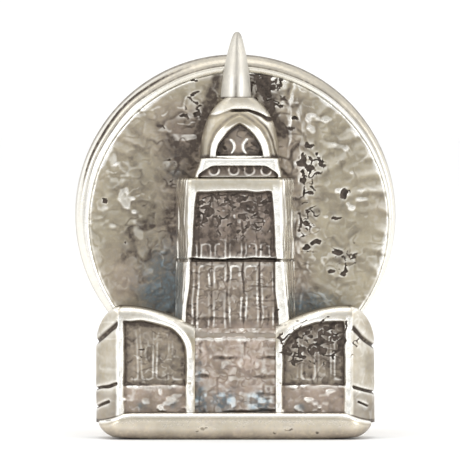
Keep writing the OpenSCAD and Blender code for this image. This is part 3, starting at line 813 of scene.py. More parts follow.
def make_wing(side, name, node):
    """A low wing: a rounded top band, polished corner ridges and a recessed window panel."""
    front = np.linspace(WING_IN - 0.04, CORNER, 130)
    u, y0, nu, ny = round_the_end(CORNER, wing_low[1], 30, front, 64)
    foot, top = crease(u) - 0.14, wing_top(u)
    v = np.linspace(0, 1, 190)[None, :] ** 0.92
    z = foot + (top - foot) * v
    x = side * u + 0 * z
    u = u + 0 * z
    drop = top - z
    over = u + (0.09 if side > 0 else 0)
    top_radius = 0.42 - 0.28 * smooth(CORNER - 0.1, CORNER + 0.25, u)
    fill = 0.95 * rolled(drop, top_radius) + 0.5 * rolled(u - WING_IN + 0.06, 0.1)
    wobble = 0.03 * noise(x, z, 0.4, 80 + side)
    from_inner = over - WING_IN - 0.28 - wobble
    from_lid = drop - 0.47 + wobble - 0.1 * smooth(3.2, 4.4, u)
    bow = 0.75
    arched = bow - np.hypot(np.maximum(bow - from_inner, 0), np.maximum(bow - from_lid, 0))
    inside = least(0.05, arched, CORNER - PANEL_EDGE + wobble - over)
    upper = smooth(COURSE_Z - 0.05, COURSE_Z + 0.08, z + wobble)
    panel = smooth(-0.02, 0.14, inside) * (0.55 + 0.45 * upper)
    course = hump(z - COURSE_Z + wobble, 0.05) * smooth(0.0, 0.1, inside)
    course = course * (0.4 + 0.6 * patches(x, z, 0.6, 81, -0.4, 0.3))
    # windows: sunken lights between worn mullions, with a rounded head
    pitch = (CORNER - PANEL_EDGE - WING_IN - MULLION_START) / WINDOWS
    across = (u - WING_IN - MULLION_START + 0.06 * noise(x, z, 0.9, 82)) / pitch
    from_mullion = (0.5 - np.abs(across - np.floor(across) - 0.5)) * pitch
    head = 0.2 + 0.25 * noise(np.floor(across) * 3.0, 0 * z, 1.0, 84 + side)
    within = least(0.06, from_mullion, from_lid - head, z - COURSE_Z - 0.13)
    faded = upper * panel * patches(x, z, 0.6, 83 + side, -0.3, 0.5)
    edge_line = hump(within - 0.07, 0.035) * faded
    light = smooth(0.09, 0.17, within) * faded
    depth = fill + 0.2 * panel + 0.045 * course + 0.025 * light - 0.018 * edge_line
    bricks = smooth(0.0, 0.1, inside) * (1 - upper)
    knobs = patches(x, z, 0.32, 85 + side, 0.05, 0.55, 2)
    cracks = cracked(x, z, (0.42, 97 + side, 0.34), (0.25, 77 + side, 0.34)) * panel
    light_marks = worms(x, z, 0.3, 67 + side, 0.32) * panel
    depth += lumps(x, z, 87 + side) * (1 + panel) - 0.05 * knobs * bricks + 0.01 * cracks
    depth -= 0.012 * light_marks
    depth += 0.03 * upper * panel * rough(x, z, 0.3, 98)
    pits = spots(x, z, WING_PITS[side], 90)
    zone = round_stains(x, z, WING_CRUST[side])
    pits = np.maximum(pits, crust(x, z, np.clip(zone, 0, 1.8), 0.22, 92))
    grimy = np.clip(zone, 0, 1) * panel
    depth = depth + 0.03 * pits
    cuts = np.zeros(z.shape)
    for start, end, width in SIDE_CUTS[side]:
        cuts = np.maximum(cuts, hump(to_line(x, z + 0.05 * noise(x, z, 0.4, 99), start, end), width))
    cuts = cuts * smooth(CORNER - 0.02, CORNER + 0.12, u)
    depth = depth + 0.11 * cuts
    outer_ridge = hump(over - CORNER + 0.03 + 0.6 * wobble, 0.12) * smooth(0.3, 0.55, drop)
    inner_ridge = hump(inside + 0.13, 0.13) * smooth(3.7, 2.9, u)
    inner_ridge = inner_ridge * (1 - 0.35 * smooth(2.2, 3.2, u))
    gap = 1 - 0.8 * hump(z - COURSE_Z - 0.06, 0.07) * (u < 3) * (u > WING_IN + 0.12)
    ridge = np.maximum(outer_ridge, inner_ridge) * gap * (0.85 + 0.4 * noise(x, z, 0.25, 89))
    depth -= 0.06 * ridge
    band = smooth(0.02, -0.04, inside) * (1 - smooth(0.3, 0.7, drop) * (u < CORNER))
    streak = hump(to_line(x, z, (-4.35, 4.62), (-3.3, 4.5)), 0.09) if side < 0 else 0
    side_face = smooth(CORNER + 0.02, CORNER + 0.12, u)
    low_side = side_face * smooth(2.0, 1.7, z)
    wear_and_highlight = 1.05 * ridge + (0.22 - 0.2 * smooth(4.8, 5.4, u)) * band + 0.24 * edge_line
    mottled = worms(x + y0, z, 0.45, 57 + side, 0.36) * side_face
    wear_and_highlight += 0.25 * knobs * bricks + 0.16 * light_marks + 0.25 * mottled
    wear_and_highlight = np.clip(wear_and_highlight, 0, 1) * (1 - pits) * (1 - 0.9 * streak) * (1 - cuts)
    grime_and_shade = (0.25 * grimy + 0.38 * panel * upper + 0.75 * course + 1.2 * cuts + 0.85 * streak
             + 0.2 * cracks * upper
             + 0.35 * hump(inside - 0.05, 0.05) * (u > CORNER - 0.4) * upper
             + 0.35 * light * patches(x, z, 0.3, 94, -0.1, 0.5, 3)
             + bricks * (0.12 + 0.06 * side + 0.3 * patches(x, z, 0.3, 95, 0.0, 0.5, 3))
             + side_face * (0.05 + 0.25 * patches(x, z, 0.6, 96, 0.0, 0.6, 3)) + 0.25 * low_side)
    grime_and_shade = np.maximum(grime_and_shade, 0.9 * smooth(0.07, 0.0, z - crease(u) + 0.03))
    layers = {"wear_and_highlight": wear_and_highlight, "grime_and_shade": grime_and_shade, "pit": pits, "blue": 0.9 * round_stains(x, z, WING_SPECKS[side]),
              "warm": 0.8 * bricks + 0.3 * panel * upper + 0.12 + 0.25 * low_side}
    return cast_piece(name, node, x - side * nu * depth, z, y0 - ny * depth, back_y - 0.06,
                      depth - 0.5 * fill, layers)


# ---- Tower ----

LEDGE_Z = block_high[2] - 0.36  # the ledge over the courses
COURSES = 4
BLOCK_SPECKS = [(1, -1.38, 1.5, 0.25, 0.55), (1, -0.45, 1.5, 0.45, 0.4), (1, 0.95, 1.5, 0.45, 0.36),
                (0.5, -1.42, 2.6, 0.14, 0.8)]
BLOCK_HOLES = [(-0.6, 1.75, 0.09), (-0.35, 1.35, 0.08), (-1.4, 1.35, 0.12), (-1.42, 1.85, 0.08),
               (0.95, 1.35, 0.1), (1.1, 1.7, 0.07), (-0.1, 1.45, 0.06)]


def make_entrance():
    """The low block between the wings, with worn courses under a ledge."""
    across = np.linspace(-WING_IN - 0.1, WING_IN + 0.1, 150)[:, None]
    z = np.linspace(plinth_high[2] - 0.12, block_high[2] + 0.08, 160)[None, :] + 0 * across
    x = across + 0 * z
    wobble = 0.07 * rough(x, z, 0.6, 100, 2)
    broken = patches(x, z, 0.55, 102, -0.35, 0.35)
    ledge = hump(z - LEDGE_Z + wobble * 0.7, 0.07) * (0.3 + 0.7 * broken)
    blobs = smooth(0.0, 0.4, noise(x, z * 0.5, 0.3, 103))
    crack = hump(z - LEDGE_Z - 0.17 + wobble, 0.045 + 0.05 * blobs)
    pitch = (LEDGE_Z - plinth_high[2]) / COURSES
    level = (z - plinth_high[2] + wobble) / pitch
    course = hump((level - np.round(level)) * pitch, 0.07) * (z < LEDGE_Z - 0.3)
    joint = (x + 3 + np.floor(level) * 0.37 + 0.8 * wobble) / 0.9
    joint = hump((joint - np.round(joint)) * 0.9, 0.06) * (z < LEDGE_Z - 0.1)
    patchy = patches(x, z, 0.5, 101, -0.1, 0.6)
    knobs = patches(x, z, 0.3, 104, 0.1, 0.6, 2)
    cracks = cracked(x, z, (0.45, 105, 0.34), (0.26, 107, 0.34))
    light_marks = worms(x, z, 0.36, 113, 0.34)
    depth = (0.06 * course * broken + 0.03 * joint * patchy - 0.03 * ledge + 0.045 * crack
             - 0.02 * knobs + 0.015 * cracks + lumps(x, z, 106) * 1.8)
    low = smooth(2.3, 1.7, z)
    specks = round_stains(x, z, BLOCK_SPECKS)
    blue = np.clip(specks * (1.3 + 1.2 * rough(x, z, 0.25, 108)), 0, 1)
    holes = spots(x, z, BLOCK_HOLES, 110)
    halo = patches(x, z, 0.22, 109, 0.0, 0.35) * smooth(0.1, 0.5, specks)
    layers = {"wear_and_highlight": np.clip(0.2 * ledge + 0.22 * knobs * (1 - low) + 0.2 * light_marks, 0, 1) + 0.95 * halo,
              "pit": 0.36 * holes, "blue": blue,
              "grime_and_shade": 0.5 * course * broken + 0.8 * crack + 0.22 * joint * patchy + 0.16 * cracks
              + 0.25 * patches(x, z, 0.4, 112, 0.1, 0.6, 3)
              + 0.6 * smooth(WING_IN - 0.12, WING_IN, np.abs(x)),
              "warm": 1.0}
    return cast_piece("entrance_courses", "entrance_block", x, z, block_low[1] + 0.02 + depth,
                      root_y + 0.6, depth, layers)


SHAFT_FRONT = lower_low[1]
SHAFT_ROOT = 2.38               # half the width that the leaning sides reach at the face
LOWER_HALVES = (2.2, 1.92)      # half of a shaft's front, at its foot and at its top
UPPER_HALVES = (1.9, 1.86)
GROOVES = [-1.53, -0.92, -0.3, 0.31, 0.93, 1.53]


def shaft_grid(z_low, z_high, halves, rows):
    """Grid over the shaft's leaning sides and its front.

    It is given as (x, z, distance inside the corner), which is 0 at the corner, more towards
    the middle and less than 0 on a side, and as (y, outward normal's x, outward normal's y).
    """
    z = np.linspace(z_low, z_high, rows)[None, :]
    half = halves[0] + (halves[1] - halves[0]) * (z - z_low) / (z_high - z_low)
    side = np.linspace(0, 1, 30)[:-1][:, None]
    front = np.linspace(-1, 1, 170)[:, None]
    left_x = -SHAFT_ROOT + (SHAFT_ROOT - half) * side
    x = np.concatenate([left_x, half * front, -left_x[::-1]])
    fore, deep = SHAFT_FRONT, face_y + 0.05
    y = np.concatenate([deep + (fore - deep) * side + 0 * half, fore + 0 * front * half,
                        deep + (fore - deep) * side[::-1] + 0 * half])
    lean = np.arctan2(SHAFT_ROOT - half, deep - fore)
    nx = np.concatenate([-np.cos(lean) + 0 * side, 0 * front * half, np.cos(lean) + 0 * side])
    ny = np.concatenate([-np.sin(lean) + 0 * side, -1 + 0 * front * half, -np.sin(lean) + 0 * side])
    z = z + 0 * x
    front_x = np.concatenate([-1 + 0 * side, front, 1 + 0 * side]) * half
    inside = half - np.abs(front_x)
    on_side = np.concatenate([side - 1, 0 * front, side[::-1] - 1]) * (deep - fore) + 0 * z
    return (x, z, inside + on_side), (y, nx, ny)


def shaft_piece(name, node, at, facing, depth, layers):
    """Cuts the depth into the shaft's plan, along its normals, and makes the block."""
    x, z, inside = at
    y, nx, ny = facing
    corner = 0.07 * hump(inside, 0.09)
    depth = depth + corner
    return cast_piece(name, node, x - nx * depth, z, y - ny * depth, root_y, depth - corner, layers)


def side_streaks(x, z, inside, seed):
    """Wavy upright streaks down the leaning sides: where they are, their depth, wear and grime."""
    sides = smooth(0.0, -0.12, inside)
    wave = rough(inside * 2.2, z * 0.35, 0.3, seed, 2)
    wear_and_highlight = sides * (0.5 + smooth(0.0, 0.5, wave) * 0.5 + 0.25 * (x > 0))
    grime_and_shade = sides * (0.08 * (x < 0) + 0.3 * smooth(0.0, -0.5, wave))
    return sides, sides * 0.07 * wave, wear_and_highlight, grime_and_shade


def make_lower_shaft():
    """Window strips with thin bright edges between two polished corners."""
    at, facing = shaft_grid(lower_low[2] - 0.4, lower_high[2] + 0.02, LOWER_HALVES, 190)
    x, z, inside = at
    top, foot = lower_high[2] - 0.02, lower_low[2] + 0.12
    ragged = 0.06 * noise(x, z, 0.35, 120)
    left_in, right_in = -1.82 - 0.16 * smooth(6.4, 4.9, z), 1.60 + 0.14 * smooth(6.0, 4.6, z)
    within = least(0.04, x - left_in, right_in - x)
    panel = smooth(0.0, 0.09, within) * smooth(foot - 0.35, foot + 0.25, z + ragged)
    gap = np.min([np.abs(x - g * (1 + 0.02 * (7 - z)) + 0.05 * noise(x * 0 + g, z, 0.55, 122))
                  for g in GROOVES], axis=0)
    window = least(0.05, gap, top - 0.02 - z)
    kept = patches(x, z, 0.45, 124, -0.6, 0.2) * panel
    groove = hump(gap, 0.04) * panel * (0.35 + 0.65 * patches(x, z, 0.8, 126, -0.4, 0.4))
    rib = hump(window - 0.105, 0.036) * kept * (0.35 + 0.65 * patches(x, z, 0.4, 125, -0.3, 0.3))
    cracks = cracked(x, z, (0.4, 121, 0.32), (0.25, 123, 0.32)) * panel
    light_marks = worms(x, z * 0.7, 0.3, 127, 0.3) * panel
    bars = (0.6 * hump(z - 6.0 + ragged, 0.05) * smooth(0.4, 0.7, x)
            + 0.6 * hump(z - 5.46 + ragged, 0.05) * patches(x, z, 0.8, 129, -0.2, 0.3)
            + hump(z - 4.72 + ragged, 0.06) * patches(x, z, 0.5, 128, -0.5, 0.2)) * panel
    sides, fluting, side_wear, side_grime = side_streaks(x, z, inside, 130)
    crumbs = patches(x, z, 0.18, 134, 0.3, 0.75, 2) * panel
    depth = (0.14 * panel + 0.04 * groove - 0.035 * rib + 0.015 * cracks + 0.03 * bars
             + lumps(x, z, 132) * (0.6 + 1.2 * panel) + fluting - 0.02 * crumbs)
    edge = np.where(x < 0, left_in - x, x - right_in)
    ridge = smooth(-0.06, 0.03, edge) * smooth(-0.05, 0.06, inside)
    ridge = ridge * smooth(foot + 0.1, foot + 0.5, z + (x > 0))
    ridge = ridge * (0.8 + 0.5 * noise(x, z, 0.22, 119))
    pits = spots(x, z, [(1.63, 5.02, 0.06), (-1.53, 5.35, 0.05)], 136)
    layers = {"wear_and_highlight": np.clip(1.2 * ridge + 0.6 * rib + 0.2 * crumbs + 0.2 * light_marks
                              + 0.4 * hump(top - z - 0.06, 0.05)
                              + side_wear, 0, 1),
              "grime_and_shade": (0.42 * panel + 0.42 * groove + 0.3 * bars + 0.2 * cracks
                        + side_grime
                        + 0.3 * patches(x, z, 0.35, 138, 0.2, 0.8, 3) * panel
                        + 0.35 * smooth(foot + 0.1, foot - 0.3, z)),
              "pit": pits, "blue": 0.6 * sides * smooth(6.2, 4.8, z) * (x < 0),
              "warm": 0.7 * panel + 0.5 * sides + 0.6 * smooth(foot + 0.4, foot - 0.1, z)}
    return shaft_piece("lower_window_shaft", "lower_shaft", at, facing, depth, layers)


SHAFT_PITS = [(-1.42, 9.3, 0.16), (-0.98, 9.4, 0.17), (-1.05, 8.95, 0.1), (-1.35, 8.45, 0.12),
              (-0.75, 8.65, 0.12), (-0.2, 9.35, 0.14), (0.2, 9.45, 0.16), (0.45, 9.25, 0.15),
              (0.3, 8.75, 0.13), (0.55, 8.45, 0.13), (0.3, 8.15, 0.1), (0.8, 9.0, 0.1),
              (0.95, 9.4, 0.1), (1.35, 9.35, 0.1), (-0.3, 8.75, 0.08), (0.1, 8.2, 0.07),
              (-0.55, 9.2, 0.07), (1.2, 8.95, 0.08), (0.9, 8.2, 0.08), (0.75, 7.5, 0.06),
              (1.05, 7.4, 0.05), (0.3, 7.8, 0.07)]
SHAFT_CRUST = [(1.1, 0.1, 9.25, 1.9, 0.6), (1.0, 0.35, 8.5, 1.0, 0.6), (0.7, -1.0, 8.6, 0.8, 0.45)]


def make_upper_shaft():
    """A panel of crusted windows under a pale band, between two polished corners."""
    seam_top = lower_high[2] + 0.1
    at, facing = shaft_grid(lower_high[2] - 0.02, upper_high[2] + 0.03, UPPER_HALVES, 240)
    x, z, inside = at
    up = (z - seam_top) / (upper_high[2] - seam_top)
    wobble = 0.025 * noise(x, z, 0.4, 139)
    panel_left, panel_right = -1.76 + 0.2 * up + wobble, 1.64 - 0.17 * up + wobble
    top = upper_high[2] - 0.45 - 0.06 * noise(x, z, 0.5, 140)
    within = least(0.06, x - panel_left, panel_right - x, top - z)
    panel = smooth(-0.01, 0.12, within)
    gap = np.min([np.abs(x - g * 0.95 + 0.06 * noise(x * 0 + g, z, 0.5, 142)) for g in GROOVES], axis=0)
    low = smooth(8.1, 7.6, z)
    head = 7.85 + 0.2 * noise(np.floor((x + 3) / 0.6) * 3.0, z * 0, 1.0, 144)
    window = least(0.05, gap, head - z)
    rib = 0.7 * hump(window - 0.09, 0.035) * low * panel * patches(x, z, 0.5, 146, -0.3, 0.3)
    groove = hump(gap, 0.045) * panel * (0.15 + 0.5 * patches(x, z, 0.6, 148, 0.0, 0.5))
    crusty = crust(x, z, np.clip(round_stains(x, z, SHAFT_CRUST), 0, 1), 0.2, 152)
    pits = np.maximum(0.8 * spots(x, z, SHAFT_PITS, 150), crusty) * panel
    cracks = cracked(x, z, (0.36, 151, 0.34), (0.24, 153, 0.36)) * panel
    beads = patches(x, z, 0.2, 154, 0.4, 0.75, 2) * panel * (1 - pits)
    sides, fluting, side_wear, side_grime = side_streaks(x, z, inside, 156)
    seam = smooth(seam_top + 0.09, seam_top, z + 0.05 * noise(x, z, 0.4, 158)) * (1 - 0.7 * sides)
    depth = (0.2 * panel + 0.04 * groove - 0.04 * rib + 0.03 * pits - 0.03 * beads + 0.2 * seam
             + 0.05 * rolled(upper_high[2] - z, 0.12) / 0.12 + lumps(x, z, 160) * (0.6 + 1.2 * panel)
             + fluting)
    edge = np.where(x < 0, panel_left - x, x - panel_right)
    ridge = smooth(-0.05, 0.05, edge) * smooth(-0.05, 0.06, inside) * smooth(top + 0.3, top - 0.05, z)
    ridge = ridge * (0.8 + 0.5 * noise(x, z, 0.22, 149))
    band = smooth(top - 0.05, top + 0.08, z) * (1 - sides)
    layers = {"wear_and_highlight": np.clip(1.2 * ridge * (1 - seam) + 0.08 * band + 0.45 * rib + 0.25 * beads
                              + side_wear, 0, 1),
              "grime_and_shade": (0.52 * panel + 0.35 * groove + 0.9 * seam + 0.4 * cracks
                        + side_grime
                        + 0.45 * patches(x, z, 0.35, 162, -0.1, 0.5, 3) * panel
                        + 0.15 * band * patches(x, z, 0.3, 163, 0.0, 0.5, 3)),
              "pit": 0.8 * pits, "warm": panel + 0.5 * sides}
    return shaft_piece("upper_window_shaft", "upper_shaft", at, facing, depth, layers)


LEAN = 0.17                     # the two top tiers sit a little to the right of the shaft
TIER_HALF = 1.72                # half of the shoulder tier, at its foot
DOME_HALF = 1.56                # half of the dome tier, at its foot
TIER_LIGHTS = (-0.84, -0.06, 0.55, 1.22)
DOME_LIGHTS = (-0.56, 0.48)
FLANK_TURN = 0.9                # how much of a quarter turn the dome's sides go round


def make_shoulder():
    """A sloping tier: a bright rim round a dark row of round lights."""
    z_low, z_high = tier_low[2], tier_high[2]
    side = np.linspace(-1, 1, 180)[:, None]
    z = np.linspace(z_low - 0.02, z_high + 0.02, 70)[None, :] + 0 * side
    up = (z - z_low) / (z_high - z_low)
    half = TIER_HALF - 0.17 * smooth(0.0, 1.0, up)
    middle = LEAN * (0.6 + 0.4 * up)
    x = middle + half * side
    flank = rolled(half - np.abs(x - middle), 0.3)
    within = least(0.06, 1.60 - 0.5 * smooth(0.15, 0.75, up) - np.abs(x - middle), z_high - 0.27 - z)
    recess = smooth(0.0, 0.08, within)
    lights = np.min([np.hypot(x - cx, z - z_low - 0.36) for cx in TIER_LIGHTS], axis=0)
    ring = hump(lights - 0.2, 0.045) * recess
    eye = smooth(0.17, 0.1, lights) * recess
    under = smooth(z_low + 0.1, z_low, z)
    ring = ring * (0.4 + 0.6 * patches(x, z, 0.25, 171, -0.3, 0.3))
    depth = (0.9 * flank + 0.2 * recess + 0.03 * eye - 0.03 * ring + 0.12 * under
             + 0.6 * rolled(z_high - z, 0.16) + lumps(x, z, 170) * 0.8)
    rim = hump(within + 0.1, 0.1) * (1 - under)
    layers = {"wear_and_highlight": np.clip(1.15 * rim + 0.3 * (1 - recess) + 0.35 * ring, 0, 1) * (1 - under),
              "grime_and_shade": (0.72 * recess * (1 - 0.7 * ring) + under + 0.15 * eye
                        + 0.7 * smooth(z_high - 0.05, z_high + 0.01, z)),
              "pit": 0.6 * spots(x, z, [(0.35, z_low + 0.3, 0.08), (0.62, z_low + 0.42, 0.07)], 172) * recess,
              "warm": 0.8 * recess}
    return cast_piece("shoulder_with_lights", "shoulder_tier", x, z, tier_low[1] + depth, root_y,
                      depth - 0.6 * flank, layers)


def make_dome():
    """The domed top: a bright brow round a pointed recess, with two round windows and a collar."""
    z_low, z_high = dome_low[2], dome_high[2]
    high = z_high - z_low
    share = np.sin(np.linspace(0, np.pi / 2, 150))[None, :]
    h = -0.03 + (high + 0.03) * share
    half = DOME_HALF * np.sqrt(1 - (np.clip(h, 0, None) / (high * 1.065)) ** 2.2)
    side = np.sin(np.linspace(-1, 1, 200) * np.pi / 2 * FLANK_TURN)[:, None]
    side = side / math.sin(np.pi / 2 * FLANK_TURN)
    x = LEAN + half * side
    z = z_low + h + 0 * side
    across = x - LEAN
    barrel = 1.1 - np.sqrt(2.0 ** 2 - across ** 2) + 0.9
    flank = rolled(half - np.abs(across), 0.3) + 0.45 * smooth(1.2, 2.4, h) ** 1.5 + 0 * z
    hh = z - z_low
    wobble = 0.03 * noise(x, z, 0.35, 180)
    brow = in_arch(across, hh, 1.22, 1.72) + wobble
    hollow = in_arch(across, hh, 0.93, 1.38) + wobble
    brow_band = smooth(-0.02, 0.08, brow) * smooth(0.03, -0.06, hollow)
    recess = smooth(0.0, 0.08, hollow) * smooth(0.06, 0.16, hh)
    second = hump(brow + 0.2, 0.05) * (across > 0) * smooth(1.9, 1.2, hh)
    # the collar's lower edge dips to the right, with a dark line under it
    edge = high - 0.50 - 0.32 * smooth(0.2, 1.2, across) - 0.22 * smooth(-0.2, -1.0, across)
    line_width = 0.045 + 0.03 * smooth(0.3, 1.1, across) + 0.03 * noise(x, z, 0.3, 181)
    line = hump(hh - edge + 3.5 * wobble, line_width)
    line = line * smooth(-0.45, -0.15, across) * smooth(1.4, 1.15, across)
    collar = smooth(edge - 0.02, edge + 0.1, hh)
    lights = np.min([np.hypot(across - c, hh - 0.44) for c in DOME_LIGHTS], axis=0)
    ring = hump(lights - 0.33 + wobble, 0.06) * recess
    eye = smooth(0.3, 0.2, lights) * recess
    pupils = [(-0.4, z_low + 0.38, 0.1), (0.78, z_low + 0.5, 0.08), (0.5, z_low + 0.55, 0.07)]
    pupil = spots(x, z, pupils, 182) * recess
    facing = smooth(0.4, 0.22, np.abs(across + 0.03))
    swirl = worms(x, z, 0.3, 185, 0.34) * recess
    depth = (0.95 * barrel + 0.8 * flank + 0.22 * recess - 0.08 * brow_band - 0.09 * collar + 0.12 * line
             - (0.025 + 0.06 * facing) * ring + 0.025 * eye + 0.03 * second + 0.02 * swirl + lumps(x, z, 184)
             + 0.4 * rolled(hh + 0.03, 0.1))
    # the brow is brightest on its two legs, and the rings on the sides that face each other
    legs = smooth(1.5, 1.15, hh + 2 * wobble) * hump(brow - 0.14, 0.15)
    apex = smooth(0.95, 1.3, hh + 2 * wobble) * smooth(-0.25, -0.05, brow) * (1 - recess)
    layers = {"wear_and_highlight": np.clip(1.2 * legs * brow_band + 0.14 * (1 - recess) + 1.1 * ring * facing
                              + 0.1 * collar, 0, 1) * (1 - line) * (1 - second * 0.8) - 1.6 * apex,
              "grime_and_shade": (0.06 * recess * (1 - ring) + 0.85 * line + 0.1 * eye + 0.6 * second + 0.3 * swirl
                        + 0.35 * ring * (1 - facing) + 0.9 * smooth(0.2, 0.06, hh)
                        + 0.3 * hump(hollow - 0.02, 0.04) * (hh > 0.1) + 0.35 * hump(brow + 0.05, 0.06)
                        + 0.18 * patches(x, z, 0.5, 186, 0.0, 0.6, 3) * (1 - brow_band)),
              "pit": 0.7 * pupil, "blue": 0.1 * recess, "warm": 0.7 * recess + 0.6 * line + 0.1}
    return cast_piece("dome_with_brow", "dome_tier", x, z, dome_low[1] + 0.1 + depth, root_y,
                      depth - 0.95 * barrel - 0.6 * flank, layers)


def make_spire():
    """The smooth, slightly flattened spike."""
    base, tip = spire_low[2], spire_high[2]
    axis_y = face_y - 0.1
    widest = (spire_high[0] - spire_low[0]) / 2
    around, along = 120, 110
    angle = np.linspace(0, TAU, around, endpoint=False)[:, None]
    t = np.sin(np.linspace(0, np.pi / 2, along))[None, :]
    r = widest * (1 - 0.78 * t ** 1.75) * np.sqrt(np.clip(1 - t ** 40, 0, 1))
    r = r * (1 + 0.02 * noise(np.cos(angle) * 2, np.sin(angle) * 2 + t * 6, 1.0, 190))
    x = 0.02 + 0.05 * t + r * np.cos(angle)
    # the front is a soft ridge, so its edges still face forward
    front = axis_y - 0.7 * r * (1 - np.abs(np.cos(angle)) ** 1.7)
    y = np.where(np.sin(angle) < 0, front, np.minimum(axis_y + r * np.sin(angle), spire_high[1]))
    z = base - 0.03 + (tip - base + 0.03) * t + 0 * angle
    # painted reflections: a dark line down the middle of the front, and bright strips either side of it on
    # the lower half
    painted_dark_reflection = hump(x - 0.02 - 0.05 * t, 0.05) * smooth(0.42, 0.1, t) * (np.sin(angle) < 0)
    foot = smooth(0.035, 0.005, t) + 0 * x
    mottle = 0.25 * patches(x, z, 0.4, 192, 0.1, 0.7, 3)
    layers = {"wear_and_highlight": 0.16 + 0.6 * hump(np.abs(x - 0.04) - 0.19, 0.1) * smooth(0.55, 0.1, t) - 0.16 * foot,
              "grime_and_shade": foot + 0.5 * painted_dark_reflection + mottle * 0.6 + 0.12 + 0.2 * smooth(0.8, 1.0, t),
              "pit": 0, "blue": 0, "warm": 0.15}
    zero = np.zeros(x.shape)
    points = np.stack([x, y, z], -1).reshape(-1, 3)
    obj = new_mesh("spire_spike", points, grid_faces(around, along, wrap=True))
    face_outwards(obj)
    paint(obj, {key: np.clip(zero + v, 0, 1) for key, v in layers.items()})
    return stands_for(obj, "spire", "tack", spire_metal)


make_face()
make_dish()
make_plinth()
make_wing(-1, "left_wing_relief", "left_wing")
make_wing(1, "right_wing_relief", "right_wing")
make_entrance()
make_lower_shaft()
make_upper_shaft()
make_shoulder()
make_dome()
make_spire()


# ---- Post and clutch ----


def hardware(name, node, body, material, profile, swell=None):
    """A piece of the post or the clutch, turned about the post's axis."""
    obj = turned(name, profile, (0.0, post_z), swell)
    return stands_for(obj, node, body, material)


pad_r = (pad_high[0] - pad_low[0]) / 2
collar_r = (post_high[0] - post_low[0]) / 2
post_r = collar_r - 0.165
pad_y, tip_y = pad_high[1], post_high[1]
collar_y = pad_y + 1.1

hardware("pad_of_post", "post_pad", "tack", back_metal,
         [(0, back_y - 0.02)]
         + bend([(pad_r, back_y - 0.02), (pad_r, pad_y - 0.16), (pad_r - 0.16, pad_y),
                 (collar_r + 0.1, pad_y), (collar_r, pad_y + 0.08), (collar_r - 0.2, pad_y + 0.08)], 0.08)
         + [(0, pad_y + 0.08)])
hardware("pointed_post", "tack_post", "tack", post_metal,
         [(0, pad_y)] + bend([(collar_r, pad_y), (collar_r, collar_y), (post_r, collar_y + 0.1),
                              (post_r, tip_y - 1.5), (post_r - 0.1, tip_y - 1.4), (post_r - 0.1, tip_y - 1.2),
                              (post_r, tip_y - 1.1), (post_r, tip_y - 0.9), (0.1, tip_y - 0.05),
                              (0, tip_y)], 0.05))

plate_r = (plate_high[0] - plate_low[0]) / 2
plate_y0, plate_y1 = plate_low[1], plate_high[1] - 0.15
hole_r = collar_r + 0.07
plate_bead = [(plate_r - 0.55, plate_y0), (plate_r - 0.75, plate_y0 + 0.07), (plate_r - 0.95, plate_y0)]
hardware("plate_of_clutch", "clutch_plate", "clutch", brass_metal,
         bend([(hole_r, plate_y1), (hole_r, plate_y0 + 0.02), (hole_r + 0.12, plate_y0), (2.0, plate_y0)]
              + plate_bead[::-1] + [(plate_r, plate_y0), (plate_r, plate_y1), (hole_r, plate_y1),
                                    (hole_r, plate_y1 - 0.05)], 0.05))

cup_r = (cup_high[0] - cup_low[0]) / 2
cup_end = cup_high[1]
neck_r, neck_y, wall = 2.45, plate_y0 + 2.9, 0.35
stem_hole = 1.0


def cup_curve(inset):
    """The cup's curve from its wide rim to its neck."""
    return [(neck_r - inset + (cup_r - neck_r) * math.cos(a),
             plate_y0 + 0.55 + 2.35 * math.sin(a) - (0.2 * math.sin(a) if inset else 0))
            for a in np.radians(np.linspace(0, 90, 25))]


hardware("cup_of_clutch", "clutch_cup", "clutch", brass_metal,
         bend([(plate_r - 0.2, cup_low[1] + 0.02), (plate_r - 0.1, cup_low[1]), (cup_r - 0.2, cup_low[1]),
               (cup_r, cup_low[1] + 0.25)], 0.08)
         + cup_curve(0)
         + bend([(neck_r, neck_y + 0.1), (neck_r, cup_end - 0.2), (neck_r - 0.2, cup_end),
                 (stem_hole, cup_end), (stem_hole, cup_end - wall), (neck_r - wall, cup_end - wall)], 0.07)
         + cup_curve(wall)[::-1]
         + [(plate_r, plate_y0 + 0.5), (plate_r, plate_y0), (plate_r - 0.2, plate_y0),
            (plate_r - 0.2, cup_low[1] + 0.02)])

cap_r = (cap_high[0] - cap_low[0]) / 2
cap_y0, cap_y1 = cap_low[1], cap_high[1]
FLUTES = 24


def fluted(r, angle, y):
    """The cap's grip: shallow flutes on its outer wall that fade at both ends."""
    share = smooth(cap_r - 0.25, cap_r - 0.1, r) * smooth(cap_y0 + 0.1, cap_y0 + 0.3, y)
    share = share * smooth(cap_y1 - 0.08, cap_y1 - 0.35, y)
    return r - 0.12 * share * (0.5 + 0.5 * np.cos(FLUTES * angle)) ** 2


cap_wall = [(cap_r, y) for y in np.linspace(cap_y0 + 0.12, cap_y1 - 0.3, 16)]
hardware("pull_cap_of_clutch", "pull_cap", "pull", brass_metal,
         bend([(cap_r - 0.35, cap_y1 - 0.36), (cap_r - 0.35, cap_y0 + 0.05), (cap_r - 0.3, cap_y0),
               (cap_r - 0.1, cap_y0)], 0.05)
         + cap_wall
         + [(cap_r - 0.3 + 0.3 * math.cos(a), cap_y1 - 0.3 + 0.3 * math.sin(a))
            for a in np.radians(np.linspace(8, 90, 9))]
         + bend([(1.7, cap_y1), (1.45, cap_y1 - 0.07), (1.15, cap_y1), (0.68, cap_y1), (0.575, cap_y1 - 0.1),
                 (0.575, cap_y1 - 0.35), (cap_r - 0.35, cap_y1 - 0.35)], 0.06), swell=fluted)

for node in ("cone_bush", "ball_cage", "clutch_balls"):
    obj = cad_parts[node]
    obj.data.materials.clear()
    obj.data.materials.append(hard_metal)


